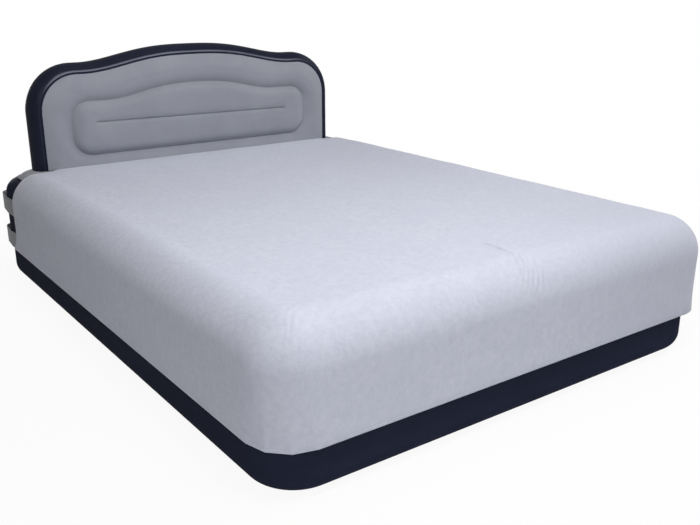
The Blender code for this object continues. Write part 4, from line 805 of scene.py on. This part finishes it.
def build_base(navy):
    """Navy base, from the lap under its panel up to the waist."""
    edge = (-BASE_INSET - BASE_ROUND, BASE_FLOOR + BASE_ROUND)
    lap = [(edge[0] - width, BASE_FLOOR) for width in BASE_LAP]
    rise = np.linspace(edge[1], WAIST - WAIST_GAP, 12)[1:]
    wall = join(-BASE_INSET, rise)
    grid = bed_grid(np.concatenate([lap, arc_line(edge, BASE_ROUND, -90, 0, 16), wall]))
    lift = ease_in(grid[..., 2], *BASE_EASE) * ease_out(grid[..., 2], WAIST, WAIST_FADE)
    grid = grid + grid_normals(grid, True) * (waves(grid, *BASE_WAVES) * lift)[..., None]
    add_skin("base_skin", grid, navy, "base_wall", "navy_vinyl")


def build_wall(navy):
    """Navy side wall, from the waist to the shoulder's seam, open at the pump."""
    low, high = PUMP_Z - PUMP_CUT_Z, PUMP_Z + PUMP_CUT_Z
    heights = np.concatenate([np.linspace(WALL_FROM, low, 2), np.linspace(low, high, 9)[1:],
                              np.linspace(high, SHOULDER_FOOT, 4)[1:-1]])
    outer_x = np.linspace(PUMP_CUT_X, HALF_X - CORNER, 30)[1:-1]
    head_x = np.concatenate([-outer_x[::-1], np.linspace(-PUMP_CUT_X, PUMP_CUT_X, 13), outer_x])
    grid = bed_grid(np.concatenate([WAIST_TURN, join(0, heights), shoulder_line(0, SEAM_DEG, 14)]), head_x)
    lift = ease_in(grid[..., 2], WAIST, WAIST_FADE) * (1 - near_pump(grid))
    end = 1 - ease_in(grid[..., 2], *WALL_END)
    depth = (waves(grid, *WALL_WAVES) - WALL_MEAN) * WALL_DEPTH * lift * end
    grid = settle(blow_out(grid + grid_normals(grid, True) * depth[..., None]))
    add_skin("side_skin", grid, navy, "side_wall", "navy_vinyl", skip=at_pump)


def build_top(flock):
    """Grey flocked top, from the shoulder's seam inwards, lower where the sheet lies on it."""
    inner = [(-SHOULDER - inward, TOP) for inward in TOP_ROWS]
    grid = blow_out(bed_grid([*shoulder_line(SEAM_DEG, 90, 10), *inner]))
    rim = grid[-1].copy()
    spine = join(0, np.clip(rim[:, 1], -TOP_SPINE, TOP_SPINE), rim[:, 2])
    inside = [rim + (spine - rim) * share for share in np.linspace(0, 1, 30)[1:]]
    grid = np.concatenate([grid, inside])
    wide, y = np.abs(grid[..., 0]), grid[..., 1]
    covered = [ease_out(y, *along) * ease_out(wide, *across) for along, across in SHEET_EASE]
    grid[..., 2] -= UNDER_SHEET * np.maximum(*covered)
    add_skin("flocked_top", settle(grid), flock, "top_panel", "grey_flock")


def build_welds(navy):
    """Welded seams at the waist and on the shoulder, which is drawn in where it is bare."""
    waist = (WAIST_SEAM_OUT - BASE_INSET + WAIST_SEAM_RADIUS, WAIST)
    shoulder = arc_line((-SHOULDER, SHOULDER_FOOT), SHOULDER + TOP_SEAM_OUT, SEAM_DEG, 90, 1)[0]
    for name, (outward, height), radius, node in (("waist_weld", waist, WAIST_SEAM_RADIUS, "waist_seam"),
                                                  ("shoulder_weld", shoulder, TOP_SEAM_RADIUS, "top_seam")):
        row = bed_row(outward)
        line = settle(level(row, height))
        if name == "shoulder_weld":
            inward = join(row[:, 0] / HALF_X, *SEAM_WAY) / SEAM_SHARE
            line -= SEAM_IN * bare(row[:, 1:]) * inward
        tube = tube_grid(line, radius, 10, closed=True)
        add_skin(name, tube, navy, node, "navy_vinyl", along=True)


# Headboard
def crown(x, shoulder, rise, span):
    """Height of a crowned top edge at a distance from the middle."""
    share = np.clip(np.abs(x) / span, 0, 1) ** CROWN_POWER
    return shoulder + rise * (1 + np.cos(np.pi * share)) / 2


def outline(half, bottom, shoulder, rise, corner, foot, span):
    """Closed outline of width and height, anticlockwise from the middle of the bottom edge."""
    low = np.linspace(0, half - foot, LOW_STEPS + 1)[:-1]
    side = np.linspace(bottom + foot, shoulder - corner, RISE_STEPS + 1)[1:-1]
    top = np.linspace(half - corner, 0, CROWN_STEPS + 1)[1:-1]
    right = np.concatenate([
        join(low, bottom),
        arc_line((half - foot, bottom + foot), foot, -90, 0, FOOT_STEPS),
        join(half, side),
        arc_line((half - corner, shoulder - corner), corner, 0, 90, ARC_STEPS),
        join(top, crown(top, shoulder, rise, span)),
    ])
    left = right[:0:-1] * [-1, 1]
    return np.concatenate([right, [[0, shoulder + rise]], left])


def panel_line(inset):
    """Outline of the headboard's panels, drawn in by an inset."""
    return outline(PANEL_HALF - inset, PANEL_BOTTOM + inset, PANEL_SHOULDER - inset, PANEL_CROWN,
                   PANEL_CORNER - inset / 2, PANEL_FOOT + inset / 2, PANEL_CROWN_X)


def pad_line(inset):
    """Outline of the raised pad, drawn in by an inset."""
    return outline(PAD_HALF - inset, PAD_BOTTOM + inset, PAD_SHOULDER - inset, PAD_CROWN,
                   PAD_CORNER - inset * INSET_ROUND, PAD_FOOT - inset * INSET_ROUND, PAD_CROWN_X)


def weld_line():
    """The pad's outline shrunk onto the weld across its middle."""
    x, z = pad_line(WELD_RING).T
    near, height = weld_at(x)
    side = np.where(z > WELD_Z, 1, -1) * WELD_GAP
    side = side * ease_out(np.abs(near - WELD_MIDDLE), WELD_HALF, WELD_END)
    return join(near + (x - near) / (PAD_HALF - WELD_HALF) * WELD_END, height + side)


def weld_at(x):
    """The nearest place along the weld, and its height there, as it runs a touch out of level."""
    near = np.clip(x, WELD_MIDDLE - WELD_HALF, WELD_MIDDLE + WELD_HALF)
    return near, WELD_Z - WELD_TILT * near / WELD_HALF


def level_off(value, power):
    """Quick rise from 0 that levels off at 1."""
    return 1 - (1 - np.clip(value, 0, 1)) ** power


def line_distance(points, line):
    """Shortest distance from points to a closed line."""
    flat = points.reshape(-1, 1, 2)
    start = line[None]
    step = np.roll(line, -1, axis=0)[None] - start
    share = np.clip(((flat - start) * step).sum(-1) / np.maximum((step ** 2).sum(-1), TINY), 0, 1)
    apart = np.linalg.norm(flat - start - step * share[..., None], axis=-1)
    return apart.min(axis=1).reshape(points.shape[:-1])


def headboard_face(border_depth, pad_depth, groove, spread):
    """Grid of the welded face, as width, depth out of the face and height."""
    outer, inner, middle, weld = panel_line(PIPING_TUCK), pad_line(0), pad_line(WELD_RING), weld_line()
    rows = [outer + (inner - outer) * share for share in BORDER_ROWS]
    for share in PAD_ROWS:
        if share < RING_SHARE:
            rows.append(inner + (middle - inner) * share / RING_SHARE)
        else:
            rows.append(middle + (weld - middle) * (share - RING_SHARE) / (1 - RING_SHARE))
    flat = np.array(rows)
    x, z = flat[..., 0], flat[..., 1]
    on_border = np.arange(len(rows))[:, None] < len(BORDER_ROWS)
    from_pad = line_distance(flat, inner)
    from_rim = line_distance(flat, outer - [0, FAR_DOWN] * (outer[:, 1:] < FOOT_LINE))
    near, center = weld_at(x)
    low = ease_out(z, center, LOW_EASE)
    aside = smooth((np.abs(x) - PAD_HALF + ASIDE_X[0]) / ASIDE_X[1])
    aside *= ease_out(np.abs(z - ASIDE_Z[0]), *ASIDE_Z[1:])
    outside = border_depth * level_off(from_rim / RIM_RISE[0], RIM_RISE[1])
    outside *= level_off(from_pad / (EDGE_RISE[0] + ASIDE_CHANGE[0] * aside), EDGE_RISE[1])
    reach = PAD_RISE[0] + LOW_CHANGE[0] * low
    power = PAD_RISE[1] + LOW_CHANGE[1] * low - ASIDE_CHANGE[1] * aside
    inside = level_off(from_pad / reach, power) * (pad_depth * (1 + LOW_CHANGE[2] * low))
    gap = np.hypot(x - near, z - center)
    hollow = np.exp(-(gap / np.where(z < center, HOLLOW_BELOW, HOLLOW_ABOVE)) ** 2)
    line = np.exp(-(gap / spread) ** 2) + HOLLOW * hollow
    beyond, fade = GROOVE_EASE
    inside = inside - groove * line * ease_out(np.abs(x - WELD_MIDDLE), WELD_HALF + beyond, fade)
    return join(x, np.where(on_border, outside, inside), z)


def outline_frames():
    """Points of the headboard's open outline, left foot to right foot, with outward normals."""
    whole = panel_line(0)
    skipped = LOW_STEPS + FOOT_STEPS
    keep = whole[skipped + 1:len(whole) - skipped]
    line = np.concatenate([[[PANEL_HALF, PANEL_BOTTOM]], keep, [[-PANEL_HALF, PANEL_BOTTOM]]])
    normal = line_normals(line)
    normal[0], normal[-1] = (1, 0), (-1, 0)
    return line, normal


def build_headboard(navy, flock, tight):
    """Welded front and back faces, the bulging rim and the piping on both edges."""
    face = plant(headboard_face(*FRONT_RELIEF))
    edge = np.clip(face[..., 1] / PUCKER_FROM, 0, 1)
    face[..., 1] += waves(face * [1, 0, 1], *PAD_WAVES) * edge * (1 - edge) * 4
    face[..., 1] = FRONT_Y - face[..., 1]
    pad = add_skin("headboard_pad", face, flock, "headboard_front", "grey_flock")

    face = plant(headboard_face(*REAR_RELIEF))
    face[..., 1] = FRONT_Y + THICKNESS + face[..., 1]
    rear = add_skin("headboard_rear", face[:, ::-1], navy, "headboard_back", "navy_vinyl")

    line, normal = outline_frames()
    line = plant(upright(line, 0))[:, [0, 2]]
    angle = np.linspace(0, np.pi, 42)
    reach = RIM_BULGE + RIM_SIDE_BULGE * np.clip(-normal[:, :1], 0, 1) - PIPING_TUCK
    out = PIPING_TUCK + reach * np.sin(angle)[None] ** RIM_POWER
    depth = FRONT_Y + THICKNESS / 2 - THICKNESS / 2 * np.cos(angle)
    spot = line[:, None] + normal[:, None] * out[..., None]
    rim = join(spot[..., 0], depth, spot[..., 1])
    rim[..., 0] += waves(rim, *RIM_WAVES) * (np.sin(angle) ** 0.5 * (1 - np.sin(angle)))
    bolster = add_skin("headboard_bolster", rim, tight, "headboard_rim", "navy_vinyl", around=False)

    for name, y in (("front", FRONT_Y), ("back", FRONT_Y + THICKNESS)):
        tube = tube_grid(upright(line, y), PIPING, 12)
        add_skin(name + "_piping", tube, navy, f"headboard_{name}_piping", "navy_vinyl", caps=True)


# Fitted sheet
def sheet_section():
    """Outward, height, head edge and corner flare of each row from the hem to the flat top."""
    heights = np.linspace(HEM, SHEET_TOP - SHOULDER, SKIRT_ROWS)
    rise = np.clip((FLARE_TOP - heights) / (FLARE_TOP - HEM), 0, 1)
    outward = SHEET_PROUD + HEM_OUT[0] * rise ** HEM_OUT[1]
    flare = FLARE[0] * rise ** FLARE[1]
    head = monotone((HEM, HEAD_BEND, FLARE_TOP, SHEET_TOP),
                    (HEM_HEAD, TOP_HEAD, SIDE_HEAD, SIDE_HEAD), heights)
    turn = arc_line((SHEET_PROUD - SHOULDER, SHEET_TOP - SHOULDER), SHOULDER, 0, 90, TURN_STEPS)[1:]
    up = np.linspace(0, 1, TURN_STEPS + 1)[1:]
    over = join(*turn.T, SIDE_HEAD + (TOP_HEAD - SIDE_HEAD) * up, 0)
    return np.concatenate([join(outward, heights, head, flare), over])


def sheet_row(outward, height, head, flare):
    """One row of the sheet, from its head edge down the left side, round the foot and back.

    The hem pulls straight between its gathers at the left corner, and kicks out at the right one.
    """
    hx, hy = HALF_X + outward, HALF_Y + outward
    radius = SHEET_CORNER + outward - SHEET_PROUD
    side = np.linspace(head, -hy + radius, SIDE_POINTS)[:-1]
    far = hx - radius
    stops = (-far, *FOOT_STOPS, far)
    parts = [np.linspace(*part)[:-1] for part in zip(stops, stops[1:], FOOT_POINTS)]
    foot = join(np.concatenate(parts)[1:], -hy)
    turned = np.linspace(0, 90, GATHER_STEPS + 1)
    half = GATHER_DEG / 2
    chord = np.cos(np.radians(half)) / np.cos(np.radians(turned % GATHER_DEG - half))
    straight = min(1, GATHER_FULL * flare / FLARE[0])
    peak, spread = KICK_DEG
    kick = KICK_EVEN * flare * np.sin(np.radians(2 * turned))
    kick += KICK_PEAK * flare * np.exp(-((turned - peak) / spread) ** 2)
    turns = []
    for sx, start, reach in ((-1, 180, radius * (1 + (chord - 1) * straight)), (1, 270, radius + kick)):
        turn = arc_line((0, 0), 1, start, start + 90, GATHER_STEPS) * reach[:, None]
        turns.append(turn + [sx * far, -hy + radius])
    left = join(-hx, side)
    return level(np.concatenate([left, turns[0], foot, turns[1], left[::-1] * [-1, 1]]), height)


def drag_height(points):
    """How far the drag wrinkles and the crinkles at the foot lift the sheet."""
    height = np.zeros(points.shape[:-1])
    warp = WAVER_MESH * (1 + waves(points, *WAVER_WAVES))
    for middle, across, run, spacing, half_width, half_length, depth in WRINKLES:
        side, length = ((points - middle) @ np.array(Vector(way).normalized()) for way in (across, run))
        near = 1 - ease_in(np.abs(side) / half_width, CORE_WIDE, 1 - CORE_WIDE)
        inside = 1 - ease_in(np.abs(length) / half_length, CORE_LONG, 1 - CORE_LONG)
        height += depth * (1 + np.sin(2 * np.pi * side / spacing + warp)) * near * inside
    x, y, z = np.moveaxis(points * CRINKLE_SCALE, -1, 0)
    cosine, sine = math.cos(CRINKLE_TURN), math.sin(CRINKLE_TURN)
    turned = join(x * cosine + z * sine, y, z * cosine - x * sine)
    center, reach = CRINKLE
    apart = np.linalg.norm(points - center, axis=-1) / reach
    return height + waves(turned, *CRINKLE_WAVES) * (1 - ease_in(apart, CORE_ROUND, 1 - CORE_ROUND))


def build_sheet(cloth):
    """Fitted sheet: top and skirt as one thin cloth, open at the head end."""
    grid = np.array([sheet_row(*row) for row in sheet_section()])
    edge = grid[-1]
    foot_in, spine_foot = SHEET_SPINE
    spine_y = np.interp(edge[:, 1], [edge[:, 1].min() + foot_in, TOP_HEAD], [spine_foot, NOTCH_Y])
    spine = join(0, spine_y, edge[:, 2])
    rows = []
    for share in np.linspace(0, 1, TOP_SHARES)[1:]:
        row = edge + (spine - edge) * share
        straight = TOP_HEAD + (NOTCH_Y - TOP_HEAD) * share
        near = smooth(1 - (straight - row[:, 1]) / NOTCH_FADE)
        notch = np.clip((NOTCH_OUT - np.abs(row[:, 0])) / (NOTCH_OUT - NOTCH_IN), 0, 1)
        row[:, 1] += (TOP_HEAD + (NOTCH_Y - TOP_HEAD) * notch - straight) * near
        rows.append(row)
    grid = np.concatenate([grid, rows])
    high = grid[..., 2]
    sway = waves(grid, *SKIRT_WAVES) * ease_out(high, *SKIRT_EASE)
    height = SHEET_LIFT + waves(grid, *SHEET_WAVES) + waves(grid, *PUCKER_WAVES) + sway + drag_height(grid)
    lift = np.maximum(height, 0) * ease_in(high, HEM, HEM_EASE)
    grid = grid + grid_normals(grid) * lift[..., None]
    sheet = add_skin("bed_sheet", settle(grid), cloth, "fitted_sheet", "pale_sheet", around=False)
    tune(sheet.modifiers.new("Merge", "WELD"), merge_threshold=MERGE)
    tune(sheet.modifiers.new("Thickness", "SOLIDIFY"), thickness=SHEET_THICK, offset=-1)


# Straps
def strap_grid(side, bend, pump):
    """Middle surface of one strap, from its seam on the left, round the head end, to the right.

    Each station has its place, its height, and what the strap lies on there: 1 on the cloth, 2 clear of
    both, 3 on the wall.
    """
    cloth = sheet_section()[:, :2]
    wall = np.concatenate([[(0, 0)], shoulder_line(0, SEAM_DEG, 14)])
    sewn_x = HALF_X - (SHEET_THICK + SEWN_GAP + STRAP_THICK / 2)
    wall_y = HALF_Y + WALL_GAP + STRAP_THICK / 2
    bend_x = HALF_X + SHEET_PROUD - BEND_IN
    flat_x = HALF_X - CORNER
    start_y = SIDE_HEAD + SEWN_HALF
    first_in, first_back, _ = BEND[0]
    end_y = wall_y - first_back
    t = np.arange(1, BEND_STEPS) / BEND_STEPS
    y = start_y + (end_y - start_y) * t
    x = np.interp(y, [start_y, LEAVE_Y, end_y], [sewn_x, HALF_X + LEAVE_OUT, bend_x - first_in])
    beside = join(x, y, side + (bend - side) * t, np.maximum(0, 1 - LEAVE_FADE * t))
    turn = [(bend_x - inward, wall_y - back, bend + BEND_RISE * share, 0) for inward, back, share in BEND]
    t = np.arange(WALL_STEPS + 1) / WALL_STEPS
    z = bend + BEND_RISE + (pump - bend - BEND_RISE) * smooth(t)
    behind = join(flat_x + (PUMP_SIDE - flat_x) * t, wall_y, z, 2 + np.minimum(1, LAY_FADE * t))
    sewn = join(sewn_x, SIDE_HEAD + SEWN_HALF * np.array([-1, 0, 1]), side, 1)
    right = np.concatenate([sewn, beside, turn, behind, join((0.10, 0.06, 0.02), wall_y, pump, 3)])
    whole = np.concatenate([right, right[::-1] * [-1, 1, 1, 1]])
    place, height, rests = whole[:, :2], whole[:, 2], whole[:, 3]
    across = line_normals(place)
    rows = []
    for share in np.linspace(-0.5, 0.5, STRAP_ROWS):
        z = height + STRAP_WIDTH * share
        on_cloth = np.interp(z, cloth[:, 1], cloth[:, 0]) * np.clip(rests, 0, 1)
        on_wall = np.interp(z, wall[:, 1], wall[:, 0]) * np.clip(rests - 2, 0, 1)
        reach = np.where(rests <= 1, on_cloth, on_wall)
        rows.append(level(place + across * reach[:, None], z))
    return np.array(rows)


def build_straps(elastic):
    """Two woven straps that hold the sheet's side edges round the head end."""
    for name, node, heights in STRAPS:
        grid = strap_grid(*heights)
        strap = add_skin(name, grid, elastic, node, "grey_elastic", around=False)
        tune(strap.modifiers.new("Thickness", "SOLIDIFY"), thickness=STRAP_THICK, offset=0)


# Pump and other rigid nodes
def build_spring(steel):
    """The check valve's coil, which shortens as the valve lifts."""
    low, high = (np.array(corner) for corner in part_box("valve_spring"))
    x, y, _ = (low + high) / 2
    turn = np.linspace(0, 2 * np.pi * SPRING_TURNS, SPRING_STEPS * SPRING_TURNS + 1)
    radius = (high[0] - low[0]) / 2 - SPRING_WIRE
    rise = np.linspace(low[2] + SPRING_WIRE, high[2] - SPRING_WIRE, len(turn))
    path = join(x + radius * np.cos(turn), y + radius * np.sin(turn), rise)
    coil = add_skin("valve_coil", tube_grid(path, SPRING_WIRE, 8), steel, "valve_spring", "steel", caps=True)
    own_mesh(coil)


def dress_nodes(looks):
    """Give every CAD node that stays its material, with softened edges on the rigid ones."""
    for name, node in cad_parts.items():
        kind = next((kind for kind, names in NODE_LOOKS.items() if name in names.split()), "clear")
        node.data.materials.clear()
        node.data.materials.append(looks[kind])
        if name in SOFT_EDGES:
            tune(node.modifiers.new("Soft edges", "BEVEL"), width=SOFT_EDGES[name], segments=2,
                 limit_method="ANGLE", angle_limit=math.radians(SHARP_DEG))


# Stage, light and camera
def show_white(owner, output, share, soft, white):
    """Mix a soft shader with a white one and send it to the output."""
    mixed = owner.make("MixShader", 0, {0: share, 1: soft, 2: white})
    owner.feed(owner.nodes.new("ShaderNodeOutput" + output), 0, mixed)


def build_stage():
    """Pale floor that keeps the shadow, white surroundings and soft lamps."""
    mesh = bpy.data.meshes.new("floor")
    corners = [(x * FLOOR_HALF, y * FLOOR_HALF, 0) for x, y in ((-1, -1), (1, -1), (1, 1), (-1, 1))]
    mesh.from_pydata(corners, [], [(0, 1, 2, 3)])
    put("floor", mesh, location=(0, 0, -FLOOR_DROP))
    pale = bpy.data.materials.new("pale_floor")
    mesh.materials.append(pale)
    tree = Tree(pale)
    tree.nodes.clear()
    apart = tree.length(tree.make("TexCoord", "Object"))
    share = tree.times(tree.remap(apart, *SHADOW_ENDS, SHADOW_WHITE, 1.0), tree.seen())
    show_white(tree, "Material", share, tree.make("BsdfDiffuse", 0, {"Color": FLOOR_COLOUR}),
               tree.make("Emission", 0, {"Strength": 1.0}))

    bpy.context.scene.world = bpy.data.worlds.new("studio")
    tree = Tree(bpy.context.scene.world)
    tree.nodes.clear()
    show_white(tree, "World", tree.seen(),
               tree.make("Background", 0, {"Color": FILL_COLOUR, "Strength": FILL_STRENGTH}),
               tree.make("Background", 0, {"Color": (1, 1, 1, 1), "Strength": 1.0}))

    for name, place, (width, height), power in LAMPS:
        data = bpy.data.lights.new(name, "AREA")
        tune(data, shape="RECTANGLE", size=width, size_y=height, energy=power)
        turn = (Vector(LAMP_TARGET) - Vector(place)).to_track_quat("-Z", "Y").to_euler()
        put(name, data, location=place, rotation_euler=turn)


def build_camera():
    """Camera at the photograph's place."""
    data = tune(bpy.data.cameras.new("camera"), sensor_width=SENSOR, lens=FOCAL_PIXELS / PHOTO_WIDTH * SENSOR)
    turn = (math.radians(90 - CAMERA_DOWN_DEG), 0, math.radians(CAMERA_TURN_DEG))
    bpy.context.scene.camera = put("camera", data, location=CAMERA_PLACE, rotation_euler=turn)


looks = {
    "navy": vinyl_look(),
    "clear": clear_look(),
    "grey": plastic_look("grey_moulding", (0.135, 0.143, 0.160), (0.165, 0.173, 0.190), 0.48),
    "black": plastic_look("black_moulding", (0.016, 0.016, 0.019), (0.024, 0.024, 0.028), 0.42),
    "steel": metal_look("plated_steel", (0.42, 0.41, 0.40), (0.58, 0.58, 0.59), 0.32),
    "brass": metal_look("brass", (0.50, 0.34, 0.12), (0.66, 0.48, 0.20), 0.34),
    "rubber": rubber_look(),
}
flock = flock_look()
build_base(looks["navy"])
build_wall(looks["navy"])
build_top(flock)
build_welds(looks["navy"])
build_headboard(looks["navy"], flock, rim_look())
build_sheet(sheet_look())
build_straps(elastic_look())
build_spring(looks["steel"])
dress_nodes(looks)
build_stage()
build_camera()
bpy.context.scene.view_settings.view_transform = "Standard"
